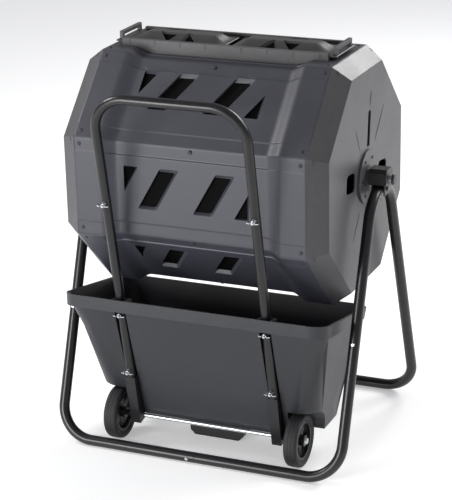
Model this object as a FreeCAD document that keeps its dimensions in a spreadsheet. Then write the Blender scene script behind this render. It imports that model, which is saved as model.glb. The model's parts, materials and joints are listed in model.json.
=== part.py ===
"""Compost tumbler: an eight-sided drum with two chambers on a tube stand, over a wheeled cart.

Millimetres. X runs along the drum's axle, +Z is up and the origin is on the floor under the axle.
The cart's push handle is on the -Y side.
"""
import FreeCAD
import Part
import math
import os
import re
import Sketcher

Vector = FreeCAD.Vector
Rotation = FreeCAD.Rotation
Placement = FreeCAD.Placement

AXIS_X = Vector(1, 0, 0)
AXIS_Y = Vector(0, 1, 0)
AXIS_Z = Vector(0, 0, 1)
SIDES = (("left", -1), ("right", 1))

# ---------------------------------------------------------------- driving dimensions

DIMENSIONS = [
    ("drum_flats", 550, "drum, across two opposite flats"),
    ("drum_length", 552, "drum's side panels, between the end caps' seams"),
    ("drum_floor_gap", 342.9, "floor to the lowest point that a turning corner of the drum reaches"),
    ("panel_wall", 4, "side panel's wall"),
    ("panel_press", 14, "depth of the panel's pressed-in middle"),
    ("press_border", 58, "unpressed border at each end of a panel"),
    ("press_ramp", 42, "length of the ramp into the pressed middle"),
    ("panel_joint", 0.2, "gap in the mitre between two panels, on each side"),
    ("vent_wide", 46, "width of a vent"),
    ("vent_tall", 98, "height of a slanted vent"),
    ("vent_slant", 57, "sideways run of a slanted vent"),
    ("vent_pitch", 134, "between the two slanted vents"),
    ("corner_vent_tall", 62, "height of a three-cornered vent"),
    ("vent_reach", 150, "middle of the vent pattern to the upright side of its end vents"),
    ("vent_shift", 12, "vent pattern's shift towards the left end"),
    ("vent_raise", 5, "vent pattern's middle above the panel's middle"),
    ("upper_vent_raise", 27, "the same, on the two upper sloping panels"),
    ("chute_inner", 20, "drum's middle to the near side of a filling opening"),
    ("chute_end_gap", 8, "filling opening to the start of the panel's ramp"),
    ("chute_half_width", 42, "filling opening, middle to side"),
    ("cap_depth", 41, "end cap, seam to flat face"),
    ("cap_bevel", 30, "end cap's bevel, measured in from a flat"),
    ("cap_wall", 4, "end cap's wall"),
    ("cap_turn", 7, "turn of the end cap's openings about the axle, degrees"),
    ("cap_slot_low", 68, "axle to the low end of the cap's long slot"),
    ("cap_slot_high", 150, "axle to the high end of the cap's long slot"),
    ("cap_slot_wide", 16, "width of the cap's long slot"),
    ("grip_hole_reach", 107, "axle to the middle of a cap's hand hole"),
    ("grip_hole_wide", 56, "width of a hand hole"),
    ("grip_hole_tall", 44, "height of a hand hole"),
    ("divider_wall", 5, "wall between the two chambers"),
    ("hub_radius", 62, "hub disc"),
    ("hub_wall", 5, "hub disc's thickness"),
    ("hub_boss_radius", 20, "raised middle of the hub disc"),
    ("hub_boss_high", 4, "hub boss above the disc"),
    ("hub_hole_ring", 46, "axle to the hub's small holes"),
    ("hub_hole_radius", 4, "hub's small holes"),
    ("drum_axle_radius", 10, "drum's axle"),
    ("axle_overhang", 8, "drum's axle beyond its bracket"),
    ("axle_cap_radius", 14, "cap on the drum axle's end"),
    ("axle_cap_high", 6, "drum axle cap's height"),
    ("axle_slack", 0.08, "radial clearance of a running fit"),
    ("seat_slack", 0.2, "radial clearance where a fixed piece goes through another"),
    ("frame_gap", 32, "end cap's face to the middle of the A-frame's tube"),
    ("tube_radius", 12.5, "stand tube, outside"),
    ("tube_wall", 1.5, "stand tube's wall"),
    ("apex_clear", 1.1, "under the drum's axle to the top of the A-frame's tube"),
    ("apex_flat", 1, "straight half-run at the A-frame's top"),
    ("apex_bend", 82, "bend at the A-frame's top, to the tube's middle"),
    ("corner_bend", 80, "bend from leg to floor tube, to the tube's middle"),
    ("leg_joint_height", 285, "floor to the joint in each leg"),
    ("spigot_slack", 0.3, "radial clearance of a joint's spigot in its tubes"),
    ("spigot_reach", 45, "spigot's length on each side of a joint"),
    ("bracket_wide", 46, "axle bracket, along Y"),
    ("bracket_deep", 42, "axle bracket, along the axle"),
    ("bracket_above", 24, "axle bracket, axle to its top"),
    ("bracket_ear", 26, "axle bracket's ears, below the top of the tube"),
    ("door_mid_gap", 7, "drum's middle to each door"),
    ("door_end_gap", 8, "door's outer end to the drum's end seam"),
    ("door_half_width", 60, "door, middle to the edge of its flange"),
    ("door_wall", 3, "door's wall"),
    ("door_lift", 8, "top panel's border to the underside of the door's flange"),
    ("door_rise", 26, "top panel's border to the top of the door"),
    ("door_dome_foot", 46, "middle to the foot of the door's dome"),
    ("door_dome_top", 30, "middle to the edge of the door's flat top"),
    ("door_slack", 0.5, "door's flange to its groove, all round"),
    ("rail_high", 17, "door rail, above the top panel's border"),
    ("rail_web", 6, "door rail behind its groove"),
    ("rail_wide", 11, "door rail, along Y"),
    ("rail_end_gap", 26, "rail's end to the drum's end seam"),
    ("grip_rise", 28.5, "top panel's border to the top of the door's grip"),
    ("grip_room", 26, "flat end of the door, where the grip stands"),
    ("grip_bar", 9, "thickness of the grip's bar"),
    ("grip_half_width", 50, "grip, middle to its end"),
    ("handle_lean", 11.05, "handle's lean from upright, degrees"),
    ("handle_gap", 8.9, "drum's turning corners to the handle's tube"),
    ("handle_radius", 11, "handle tube, outside"),
    ("handle_wall", 1.5, "handle tube's wall"),
    ("handle_half_width", 178, "handle, middle to a leg"),
    ("wing_bolt_radius", 3, "bolt through the handle"),
    ("wing_bolt_end", 12, "bolt's end beyond the tube, on the wing nut's side"),
    ("wing_head_radius", 6, "head of a bolt through the handle"),
    ("wing_head_high", 3, "the same head's height"),
    ("wing_nut_foot", 6.5, "wing nut's cone, radius against the tube"),
    ("wing_nut_top", 4.5, "wing nut's cone, radius at its top"),
    ("wing_nut_high", 7, "wing nut's cone, height"),
    ("wing_start", 3.5, "bolt's middle to the root of a wing"),
    ("wing_raise", 4, "tube to the foot of a wing"),
    ("wing_wide", 8, "wing, across"),
    ("wing_high", 10, "wing, along the bolt"),
    ("wing_thick", 2.4, "wing's thickness"),
    ("wing_lean", 20, "outward lean of a wing, degrees"),
    ("handle_top", 876, "handle, floor to its top bar's middle"),
    ("handle_bend", 80, "bend at the handle's top corners"),
    ("handle_joint_height", 610, "floor to the joint between handle and leg tubes"),
    ("handle_foot_height", 176, "floor to the lower end of the leg tubes"),
    ("wheel_radius", 63, "wheel"),
    ("wheel_wide", 32, "wheel's width"),
    ("wheel_outer", 242, "middle to a wheel's outer face"),
    ("rim_radius", 46, "tyre's inner radius"),
    ("cart_axle_radius", 5, "cart's axle"),
    ("axle_setback", 8.4, "handle's line back to the cart's axle"),
    ("wheel_tube_run", 74, "cart's axle to the middle of the front floor tube, along Y"),
    ("tub_wall", 3, "cart tub's wall"),
    ("tub_floor_height", 65, "floor to the tub's underside"),
    ("tub_floor_length", 262, "tub, middle to an end, at the underside"),
    ("tub_floor_depth", 185, "tub, front to back, at the underside"),
    ("tub_front_gap", 16.5, "handle's line back to the tub's front, at the underside"),
    ("rim_front_height", 381, "floor to the tub's rim at the front"),
    ("rim_fall", 61, "fall of the rim from front to back"),
    ("rim_depth", 316, "tub's rim, front to back"),
    ("rim_side_gap", 26.5, "tub's rim to the stand's tube, at each end"),
    ("rim_handle_gap", 1.6, "handle's tube to the rim's inner face"),
    ("rim_band", 29, "height of the band round the rim"),
    ("rim_corner", 38, "rim's corner radius"),
    ("floor_corner", 46, "tub's corner radius at the underside"),
    ("channel_slack", 3, "handle's tube to the wall of its channel"),
    ("arch_slack", 8, "wheel to the wall of its arch"),
    ("spacer_radius", 6.8, "spacer between an axle arm and a wheel"),
    ("arm_wide", 24, "axle arm, along X"),
    ("arm_front", 10, "handle's line to the axle arm's front"),
    ("arm_plate", 5, "axle arm's plate behind the leg tube"),
    ("arm_plate_gap", 0.3, "leg tube to the axle arm's plate"),
    ("arm_below", 12, "axle arm below the cart's axle"),
    ("arm_top", 226, "floor to the axle arm's top"),
    ("foot_long", 136, "cart's foot, along X"),
    ("foot_deep", 84, "cart's foot, along Y"),
    ("foot_setback", 66, "cart's axle back to the foot"),
    ("foot_shift", 8, "foot's middle towards the left end"),
    ("foot_bevel", 12, "bevel on the foot's lower corners"),
    ("screw_head_radius", 4, "panel screw's head"),
    ("screw_head_high", 1.6, "panel screw's head height"),
]

# Worked-out sizes, in the spreadsheet's own formula language.
LAYOUT = [
    ("half_flats", "Dims.drum_flats / 2"),
    ("half_edge", "half_flats * tan(22.5)"),
    ("sweep", "half_flats / cos(22.5)"),
    ("axle_height", "Dims.drum_floor_gap + sweep"),
    ("half_length", "Dims.drum_length / 2"),
    ("ramp_end", "half_length - Dims.press_border"),
    ("ramp_start", "ramp_end - Dims.press_ramp"),
    ("pressed", "half_flats - Dims.panel_press"),
    ("cap_face", "half_length + Dims.cap_depth"),
    ("frame_plane", "cap_face + Dims.frame_gap"),
    ("apex_height", "axle_height - Dims.drum_axle_radius - Dims.apex_clear - Dims.tube_radius"),
    ("lean_run", "tan(Dims.handle_lean)"),
    ("handle_reach", "(sweep + Dims.handle_gap + Dims.handle_radius) / cos(Dims.handle_lean)"),
    ("handle_at_floor", "-handle_reach + lean_run * axle_height"),
    ("cart_axle_place", "handle_at_floor - lean_run * Dims.wheel_radius + Dims.axle_setback"),
    ("foot_spread", "Dims.wheel_tube_run - cart_axle_place"),
    ("bend_height", "apex_height - Dims.apex_bend - Dims.tube_radius"),
    ("bend_run", "foot_spread - Dims.apex_flat"),
    ("bend_span", "sqrt(bend_run ^ 2 + bend_height ^ 2)"),
    ("leg_lean", "(atan(bend_run / bend_height) - asin(Dims.apex_bend / bend_span)) / 1 deg"),
    ("apex_corner", "Dims.apex_flat + Dims.apex_bend * tan(45 - leg_lean / 2)"),
    ("leg_joint_run", "apex_corner + (apex_height - Dims.leg_joint_height) * tan(leg_lean)"),
    ("leg_run", "(Dims.leg_joint_height - Dims.tube_radius) / cos(leg_lean)"),
    ("handle_rise", "Dims.handle_top / cos(Dims.handle_lean)"),
    ("joint_rise", "Dims.handle_joint_height / cos(Dims.handle_lean)"),
    ("foot_rise", "Dims.handle_foot_height / cos(Dims.handle_lean)"),
    ("arm_rise", "Dims.arm_top / cos(Dims.handle_lean)"),
    ("arm_back", "Dims.handle_radius + Dims.arm_plate_gap + Dims.arm_plate"),
    ("axle_rise", "Dims.wheel_radius / cos(Dims.handle_lean) - Dims.axle_setback * sin(Dims.handle_lean)"),
    ("axle_back", "Dims.axle_setback * cos(Dims.handle_lean)"),
    ("rail_middle", "Dims.door_half_width + Dims.door_slack + Dims.rail_web - Dims.rail_wide / 2"),
    ("vent_left", "-Dims.vent_shift - Dims.vent_pitch / 2"),
    ("vent_right", "-Dims.vent_shift + Dims.vent_pitch / 2"),
    ("vent_left_end", "-Dims.vent_shift - Dims.vent_reach"),
    ("vent_right_end", "-Dims.vent_shift + Dims.vent_reach"),
    ("rim_half_length", "frame_plane - Dims.tube_radius - Dims.rim_side_gap"),
    ("door_end", "half_length - Dims.door_end_gap"),
    ("rail_end", "half_length - Dims.rail_end_gap"),
]


def make_sheets(doc):
    """Fill the sheet of driving dimensions and the sheet of worked-out sizes; return both as numbers."""
    dims = doc.addObject("Spreadsheet::Sheet", "Dims")
    for row, (name, value, meaning) in enumerate(DIMENSIONS, start=1):
        dims.set(f"A{row}", name)
        dims.set(f"B{row}", str(value))
        dims.set(f"C{row}", meaning)
        dims.setAlias(f"B{row}", name)
    doc.recompute()
    layout = doc.addObject("Spreadsheet::Sheet", "Layout")
    for row, (name, formula) in enumerate(LAYOUT, start=1):
        layout.set(f"A{row}", name)
        layout.set(f"B{row}", "=" + formula)
        layout.setAlias(f"B{row}", name)
        doc.recompute()
    sizes = {name: float(dims.get(name)) for name, _, _ in DIMENSIONS}
    sizes.update({name: float(layout.get(name)) for name, _ in LAYOUT})
    return sizes


# ---------------------------------------------------------------- helpers

SHEET_OF = {name: "Dims" for name, _, _ in DIMENSIONS}
SHEET_OF.update({name: "Layout" for name, _ in LAYOUT})


def formula(text):
    """Put each size's sheet before its name, so that the text can be bound to a property."""
    return re.sub(r"[a-z][a-z_]+", lambda word: f"{SHEET_OF.get(word[0], '')}.{word[0]}".lstrip("."), text)


def bind(thing, prop, text):
    thing.setExpression(prop, formula(text))


class Model:
    """The document, its sizes as numbers, and the sub-parts made so far."""

    def __init__(self, name):
        self.doc = FreeCAD.newDocument(name)
        self.sizes = make_sheets(self.doc)
        self.pieces = []

    def __getattr__(self, name):
        return self.sizes[name]

    def body(self, label, place=Placement()):
        body = self.doc.addObject("PartDesign::Body", label)
        body.Label = label
        body.Placement = place
        self.pieces.append(body)
        return body

    def solid(self, label, shape, place=Placement()):
        """A sub-part whose shape is worked out here, from the sheets' numbers."""
        piece = self.doc.addObject("Part::Feature", label)
        piece.Label = label
        piece.Shape = shape
        piece.Placement = place
        self.pieces.append(piece)
        return piece

    def keep(self, piece, label, place=Placement()):
        piece.Label = label
        piece.Placement = place
        self.pieces.append(piece)
        return piece


def sketch_on(body, plane, name, offset=None):
    """An empty sketch on one of the body's own origin planes, moved along its normal by offset."""
    sketch = body.newObject("Sketcher::SketchObject", name)
    origin = [item for item in body.Origin.OriginFeatures if item.Role == plane]
    sketch.AttachmentSupport = [(origin[0], "")]
    sketch.MapMode = "FlatFace"
    if offset is not None:
        bind(sketch, ".AttachmentOffset.Base.z", offset)
    return sketch


def fix_point(sketch, edge, end, x, y):
    """Hold one point of a sketch's edge at (x, y), both formulas."""
    here = sketch.getPoint(edge, end)
    for kind, text, value in (("DistanceX", x, here.x), ("DistanceY", y, here.y)):
        index = sketch.addConstraint(Sketcher.Constraint(kind, -1, 1, edge, end, value))
        bind(sketch, f"Constraints[{index}]", text)


def add_polygon(sketch, corners):
    """A closed outline of straight edges through corners, each a pair of formulas."""
    count = len(corners)
    first = sketch.GeometryCount
    ring = [Rotation(AXIS_Z, 360 * index / count).multVec(Vector(100, 0, 0)) for index in range(count)]
    for index in range(count):
        sketch.addGeometry(Part.LineSegment(ring[index], ring[(index + 1) % count]), False)
    for index in range(count):
        after = first + (index + 1) % count
        sketch.addConstraint(Sketcher.Constraint("Coincident", first + index, 2, after, 1))
    for index, (x, y) in enumerate(corners):
        fix_point(sketch, first + index, 1, x, y)


def add_circle(sketch, radius, x="0", y="0"):
    edge = sketch.addGeometry(Part.Circle(Vector(1, 1, 0), AXIS_Z, 5), False)
    fix_point(sketch, edge, 3, x, y)
    index = sketch.addConstraint(Sketcher.Constraint("Radius", edge, 5))
    bind(sketch, f"Constraints[{index}]", radius)


def add_bent_path(sketch, corners, radius):
    """An open path of straight runs through corners, with a tangent arc of one radius at each bend."""
    doc = sketch.Document
    guides = []
    for index in range(len(corners) - 1):
        guides.append(sketch.addGeometry(Part.LineSegment(Vector(index, 0, 0), Vector(index + 1, 1, 0)), True))
        fix_point(sketch, guides[-1], 1, *corners[index])
        fix_point(sketch, guides[-1], 2, *corners[index + 1])
    bend = 10.0
    doc.recompute()
    ends = [(sketch.Geometry[guide].StartPoint, sketch.Geometry[guide].EndPoint) for guide in guides]
    runs = []
    for index, (start, end) in enumerate(ends):
        along = (end - start).normalize()
        head = start if index == 0 else start + along * bend
        tail = end if index == len(ends) - 1 else end - along * bend
        runs.append(sketch.addGeometry(Part.LineSegment(head, tail), False))
    sketch.addConstraint(Sketcher.Constraint("Coincident", runs[0], 1, guides[0], 1))
    sketch.addConstraint(Sketcher.Constraint("Coincident", runs[-1], 2, guides[-1], 2))
    for index in range(len(runs) - 1):
        before, after = ends[index], ends[index + 1]
        back = (before[1] - before[0]).normalize()
        onward = (after[1] - after[0]).normalize()
        tail = before[1] - back * bend
        head = after[0] + onward * bend
        half_turn = back.getAngle(onward) / 2
        middle = before[1] + (onward - back).normalize() * bend * (1 / math.cos(half_turn) - 1) / math.tan(half_turn)
        arc = sketch.addGeometry(Part.Arc(tail, middle, head), False)
        turns_left = back.cross(onward).z > 0
        arc_head, arc_tail = (1, 2) if turns_left else (2, 1)
        sketch.addConstraint(Sketcher.Constraint("Tangent", runs[index], 2, arc, arc_head))
        sketch.addConstraint(Sketcher.Constraint("Tangent", arc, arc_tail, runs[index + 1], 1))
        sketch.addConstraint(Sketcher.Constraint("PointOnObject", runs[index], 2, guides[index]))
        sketch.addConstraint(Sketcher.Constraint("PointOnObject", runs[index + 1], 1, guides[index + 1]))
        size = sketch.addConstraint(Sketcher.Constraint("Radius", arc, sketch.Geometry[arc].Radius))
        bind(sketch, f"Constraints[{size}]", radius)


def pad(body, sketch, length, both_ways=False):
    feature = body.newObject("PartDesign::Pad", "Pad")
    feature.Profile = sketch
    bind(feature, "Length", length)
    feature.Midplane = both_ways
    return feature


def cut_through(body, sketch):
    """Cut the sketch's outline right through the body, both ways."""
    feature = body.newObject("PartDesign::Pocket", "Cut")
    feature.Profile = sketch
    feature.Type = "ThroughAll"
    feature.Midplane = True
    return feature


def tube_along(body, path, plane, outside, wall, x="0", y="0"):
    """A round tube swept along a path that starts square to one of the body's origin planes."""
    section = sketch_on(body, plane, "Section")
    add_circle(section, outside, x, y)
    add_circle(section, f"{outside} - {wall}", x, y)
    feature = body.newObject("PartDesign::AdditivePipe", "Tube")
    feature.Profile = section
    feature.Spine = path
    return feature


def mirror_copy(body, feature, plane):
    """Add the feature's mirror image in one of the body's origin planes."""
    mirror = body.newObject("PartDesign::Mirrored", "Mirrored")
    mirror.Originals = [feature]
    origin = [item for item in body.Origin.OriginFeatures if item.Role == plane]
    mirror.MirrorPlane = (origin[0], [""])
    body.Tip = mirror
    return mirror


def side_turn(sign):
    """Turn a piece drawn for the right end round to the left one."""
    return Rotation(AXIS_Z, 0 if sign > 0 else 180)


def button_screw(head_radius, head_high, shank_radius, shank_long):
    """A low-headed screw standing on the XY plane, with its shank below."""
    head = Part.makeCone(head_radius, head_radius * 0.72, head_high)
    if shank_long == 0:
        return head
    shank = Part.makeCylinder(shank_radius, shank_long, Vector(0, 0, -shank_long))
    return head.fuse(shank).removeSplitter()


def placed_copies(shape, places):
    return Part.makeCompound([shape.transformed(place.toMatrix(), copy=True) for place in places])


# ---------------------------------------------------------------- stand

LEG_CORNERS = [(f"{side}_{end}", sign, way) for side, sign in SIDES for end, way in (("front", -1), ("rear", 1))]


def make_a_frames(model):
    """Each end's inverted V: half the tube swept from its top down to the joint, then mirrored."""
    for side, sign in SIDES:
        body = model.body(f"{side}_a_frame", Placement(Vector(sign * model.frame_plane, 0, 0), Rotation()))
        path = sketch_on(body, "YZ_Plane", "Path")
        corners = [
            ("0", "apex_height"),
            ("apex_corner", "apex_height"),
            ("leg_joint_run", "leg_joint_height"),
        ]
        add_bent_path(path, corners, "apex_bend")
        model.doc.recompute()
        half = tube_along(body, path, "XZ_Plane", "tube_radius", "tube_wall", "0", "apex_height")
        model.doc.recompute()
        mirror_copy(body, half, "XZ_Plane")


def leg_place(model, sign, way):
    """A lower leg's own frame: on the floor tube's middle, with its Z axis up along the leg."""
    lean = Rotation(AXIS_X, way * model.leg_lean)
    return Placement(Vector(0, way * model.foot_spread, model.tube_radius), lean.multiply(side_turn(sign)))


def make_lower_legs(model):
    """Four tubes, each half of a floor tube that bends up into a leg."""
    for corner, sign, way in LEG_CORNERS:
        body = model.body(f"{corner}_leg", leg_place(model, sign, way))
        path = sketch_on(body, "XZ_Plane", "Path")
        add_bent_path(path, [("0", "0"), ("frame_plane", "0"), ("frame_plane", "leg_run")], "corner_bend")
        model.doc.recompute()
        tube_along(body, path, "YZ_Plane", "tube_radius", "tube_wall")


def joint_frames(model):
    """Frames at the stand's six tube joints: Z along the tube, -Y outwards."""
    frames = []
    for _, sign, way in LEG_CORNERS:
        place = leg_place(model, 1, way)
        middle = place.multVec(Vector(sign * model.frame_plane, 0, model.leg_run))
        outwards = Rotation(AXIS_Z, 0 if way < 0 else 180)
        frames.append(Placement(middle, place.Rotation.multiply(outwards)))
    for way in (-1, 1):
        middle = Vector(0, way * model.foot_spread, model.tube_radius)
        along = Rotation(AXIS_Z, 0 if way < 0 else 180).multiply(Rotation(AXIS_Y, -90))
        frames.append(Placement(middle, along))
    return frames


def make_stand_fixings(model):
    """Spigots inside the tube joints and the screws that hold them."""
    radius = model.tube_radius - model.tube_wall - model.spigot_slack
    spigot = Part.makeCylinder(radius, 2 * model.spigot_reach, Vector(0, 0, -model.spigot_reach))
    frames = joint_frames(model)
    model.solid("tube_spigots", placed_copies(spigot, frames))
    screw = button_screw(4.5, 2.6, 2.2, model.tube_radius - 2)
    on_tube = Placement(Vector(0, -model.tube_radius + 0.3, 18), Rotation(AXIS_X, 90))
    model.solid("frame_screws", placed_copies(screw, [frame.multiply(on_tube) for frame in frames]))


def make_axle_brackets(model):
    """Ribbed blocks on the A-frames' tops that hold the drum's axle, with an ear on each side of the tube."""
    for side, sign in SIDES:
        place = Placement(Vector(sign * model.frame_plane, 0, 0), side_turn(sign))
        body = model.body(f"{side}_axle_bracket", place)
        face = sketch_on(body, "YZ_Plane", "Face")
        low = "apex_height + tube_radius"
        shoulder = "axle_height + bracket_above - 8"
        high = "axle_height + bracket_above"
        corners = [
            ("-bracket_wide / 2", low),
            ("bracket_wide / 2", low),
            ("bracket_wide / 2", shoulder),
            ("bracket_wide / 2 - 8", high),
            ("-bracket_wide / 2 + 8", high),
            ("-bracket_wide / 2", shoulder),
        ]
        add_polygon(face, corners)
        pad(body, face, "bracket_deep", True)
        ears = sketch_on(body, "XZ_Plane", "Ears")
        for way in ("-", ""):
            inner = f"{way}(tube_radius + spigot_slack)"
            outer = f"{way}(tube_radius + spigot_slack + 3)"
            bottom = "apex_height + tube_radius - bracket_ear"
            top = "apex_height + tube_radius + 4"
            add_polygon(ears, [(inner, bottom), (outer, bottom), (outer, top), (inner, top)])
        pad(body, ears, "bracket_wide - 14", True)
        bore = sketch_on(body, "YZ_Plane", "Bore")
        add_circle(bore, "drum_axle_radius + axle_slack", "0", "axle_height")
        cut_through(body, bore)
    reach = model.tube_radius + model.spigot_slack + 3
    screw = button_screw(5.5, 4, 3, reach)
    frames = []
    for _, sign in SIDES:
        for face in (-1, 1):
            middle = Vector(sign * model.frame_plane + face * reach, 0, model.apex_height)
            frames.append(Placement(middle, Rotation(AXIS_Y, 90 * face)))
    model.solid("bracket_bolts", placed_copies(screw, frames))


# ---------------------------------------------------------------- drum

PANELS = [
    ("top_panel", 0),
    ("upper_front_panel", 45),
    ("front_panel", 90),
    ("lower_front_panel", 135),
    ("bottom_panel", 180),
    ("lower_rear_panel", 225),
    ("rear_panel", 270),
    ("upper_rear_panel", 315),
]


def drum_place(model, turn=0):
    """The drum's frame on its axle, turned about it."""
    return Placement(Vector(0, 0, model.axle_height), Rotation(AXIS_X, turn))


def pressed_outline(drop):
    """Corners of a panel's pressed line from left to right, drop below its outer face."""
    high = f"half_flats - {drop}"
    low = f"pressed - {drop}"
    return [
        ("-half_length", high),
        ("-ramp_end", high),
        ("-ramp_start", low),
        ("ramp_start", low),
        ("ramp_end", high),
        ("half_length", high),
    ]


def add_vents(sketch, middle):
    """Four vents: three-cornered at the ends, slanted between them; middle is their height on the panel."""
    top = f"{middle} + vent_tall / 2"
    low = f"{middle} - vent_tall / 2"
    for place in ("vent_left", "vent_right"):
        corners = [
            (f"{place} - vent_slant / 2 - vent_wide / 2", low),
            (f"{place} - vent_slant / 2 + vent_wide / 2", low),
            (f"{place} + vent_slant / 2 + vent_wide / 2", top),
            (f"{place} + vent_slant / 2 - vent_wide / 2", top),
        ]
        add_polygon(sketch, corners)
    left = [
        ("vent_left_end", top),
        ("vent_left_end", f"{top} - corner_vent_tall"),
        ("vent_left_end + vent_wide", top),
    ]
    right = [
        ("vent_right_end", low),
        ("vent_right_end", f"{low} + corner_vent_tall"),
        ("vent_right_end - vent_wide", low),
    ]
    add_polygon(sketch, left)
    add_polygon(sketch, right)


def add_chutes(sketch):
    """The two filling openings, under the doors."""
    for way in ("-", ""):
        near = f"{way}chute_inner"
        far = f"{way}(ramp_start - chute_end_gap)"
        corners = [
            (near, "-chute_half_width"),
            (far, "-chute_half_width"),
            (far, "chute_half_width"),
            (near, "chute_half_width"),
        ]
        add_polygon(sketch, corners)


def make_panels(model):
    """Eight pressed side panels, mitred where they meet."""
    for label, turn in PANELS:
        body = model.body(label, drum_place(model, turn))
        profile = sketch_on(body, "XZ_Plane", "Profile")
        add_polygon(profile, pressed_outline("0") + pressed_outline("panel_wall")[::-1])
        pad(body, profile, "half_edge * 2", True)
        mitre = sketch_on(body, "YZ_Plane", "Mitre")
        low = "(pressed - panel_wall - 2)"
        high = "(half_flats + 2)"
        for way in ("-", ""):
            corners = [
                (f"{way}({low} * tan(22.5) - panel_joint)", low),
                (f"{way}({high} * tan(22.5) - panel_joint)", high),
                (f"{way}({high} * tan(22.5) + 20)", high),
                (f"{way}({high} * tan(22.5) + 20)", low),
            ]
            add_polygon(mitre, corners)
        cut_through(body, mitre)
        holes = sketch_on(body, "XY_Plane", "Holes")
        if turn == 0:
            add_chutes(holes)
        else:
            add_vents(holes, "upper_vent_raise" if turn in (45, 315) else "vent_raise")
        cut_one_way(body, holes)


def cut_one_way(body, sketch):
    """Cut upwards only, from an origin plane that lies below the solid."""
    feature = body.newObject("PartDesign::Pocket", "Cut")
    feature.Profile = sketch
    feature.Type = "ThroughAll"
    feature.Reversed = True
    return feature


def octagon(half_flats):
    """Corners of a regular octagon with flats at the top and bottom."""
    small = f"({half_flats}) * tan(22.5)"
    big = f"({half_flats})"
    return [
        (small, big),
        (big, small),
        (big, f"-{small}"),
        (small, f"-{big}"),
        (f"-{small}", f"-{big}"),
        (f"-{big}", f"-{small}"),
        (f"-{big}", small),
        (f"-{small}", big),
    ]


def add_bevelled(sketch, left, right, low, high, bevel):
    """A rectangle with its corners taken off."""
    corners = [
        (f"{left} + {bevel}", low),
        (f"{right} - {bevel}", low),
        (right, f"{low} + {bevel}"),
        (right, f"{high} - {bevel}"),
        (f"{right} - {bevel}", high),
        (f"{left} + {bevel}", high),
        (left, f"{high} - {bevel}"),
        (left, f"{low} + {bevel}"),
    ]
    add_polygon(sketch, corners)


def make_end_caps(model):
    """Dished octagonal caps with a bevel all round, a long slot and two hand holes."""
    inner_low = "half_flats - cap_wall * 1.24"
    inner_high = "half_flats - cap_wall * 1.24 - cap_bevel * (cap_depth - cap_wall) / cap_depth"
    for side, sign in SIDES:
        place = Placement(Vector(sign * model.half_length, 0, model.axle_height), side_turn(sign))
        body = model.body(f"{side}_end_cap", place)
        for kind, low, high, depth in (
            ("PartDesign::AdditiveLoft", "half_flats", "half_flats - cap_bevel", "cap_depth"),
            ("PartDesign::SubtractiveLoft", inner_low, inner_high, "cap_depth - cap_wall"),
        ):
            foot = sketch_on(body, "YZ_Plane", "Seam")
            add_polygon(foot, octagon(low))
            face = sketch_on(body, "YZ_Plane", "Face", depth)
            add_polygon(face, octagon(high))
            loft = body.newObject(kind, "Loft")
            loft.Profile = foot
            loft.Sections = [face]
            model.doc.recompute()
        holes = sketch_on(body, "YZ_Plane", "Holes")
        holes.AttachmentOffset = Placement(Vector(), Rotation(AXIS_Z, -model.cap_turn))
        add_bevelled(holes, "-cap_slot_wide / 2", "cap_slot_wide / 2", "cap_slot_low", "cap_slot_high", "4")
        for middle in ("grip_hole_reach", "-grip_hole_reach"):
            left, right = f"{middle} - grip_hole_wide / 2", f"{middle} + grip_hole_wide / 2"
            add_bevelled(holes, left, right, "-grip_hole_tall / 2", "grip_hole_tall / 2", "8")
        add_circle(holes, "drum_axle_radius + seat_slack")
        cut_through(body, holes)


def make_hubs(model):
    """A disc on each end cap that carries the drum's axle."""
    for side, sign in SIDES:
        place = Placement(Vector(sign * model.cap_face, 0, model.axle_height), side_turn(sign))
        body = model.body(f"{side}_hub_plate", place)
        disc = sketch_on(body, "YZ_Plane", "Disc")
        add_circle(disc, "hub_radius")
        pad(body, disc, "hub_wall")
        boss = sketch_on(body, "YZ_Plane", "Boss")
        add_circle(boss, "hub_boss_radius")
        pad(body, boss, "hub_wall + hub_boss_high")
        holes = sketch_on(body, "YZ_Plane", "Holes")
        add_circle(holes, "drum_axle_radius + seat_slack")
        for turn in range(0, 360, 60):
            place_x, place_y = f"hub_hole_ring * cos({turn})", f"hub_hole_ring * sin({turn})"
            add_circle(holes, "hub_hole_radius", place_x, place_y)
        cut_through(body, holes)


def make_divider(model):
    """The octagonal wall between the two chambers."""
    body = model.body("divider", drum_place(model))
    face = sketch_on(body, "YZ_Plane", "Face")
    add_polygon(face, octagon("pressed - panel_wall - 0.5"))
    pad(body, face, "divider_wall", True)
    bore = sketch_on(body, "YZ_Plane", "Bore")
    add_circle(bore, "drum_axle_radius + seat_slack")
    cut_through(body, bore)


def make_round_bar(model, label, radius, half_long, middle):
    """A round bar along X, centred on the middle plane."""
    bar = model.doc.addObject("Part::Cylinder", label)
    bind(bar, "Radius", radius)
    bind(bar, "Height", f"2 * ({half_long})")
    return model.keep(bar, label, Placement(middle, Rotation(AXIS_Y, 90)))


def make_drum_axle(model):
    """One axle through the whole drum, with a cap on each end outside the brackets."""
    half_long = model.frame_plane + model.bracket_deep / 2 + model.axle_overhang
    start = Vector(-half_long, 0, model.axle_height)
    long_formula = "frame_plane + bracket_deep / 2 + axle_overhang"
    make_round_bar(model, "drum_axle", "drum_axle_radius", long_formula, start)
    cap = Part.makeCone(model.axle_cap_radius, model.axle_cap_radius * 0.8, model.axle_cap_high)
    frames = [
        Placement(Vector(sign * half_long, 0, model.axle_height), Rotation(AXIS_Y, 90 * sign))
        for _, sign in SIDES
    ]
    model.solid("drum_axle_caps", placed_copies(cap, frames))


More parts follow.
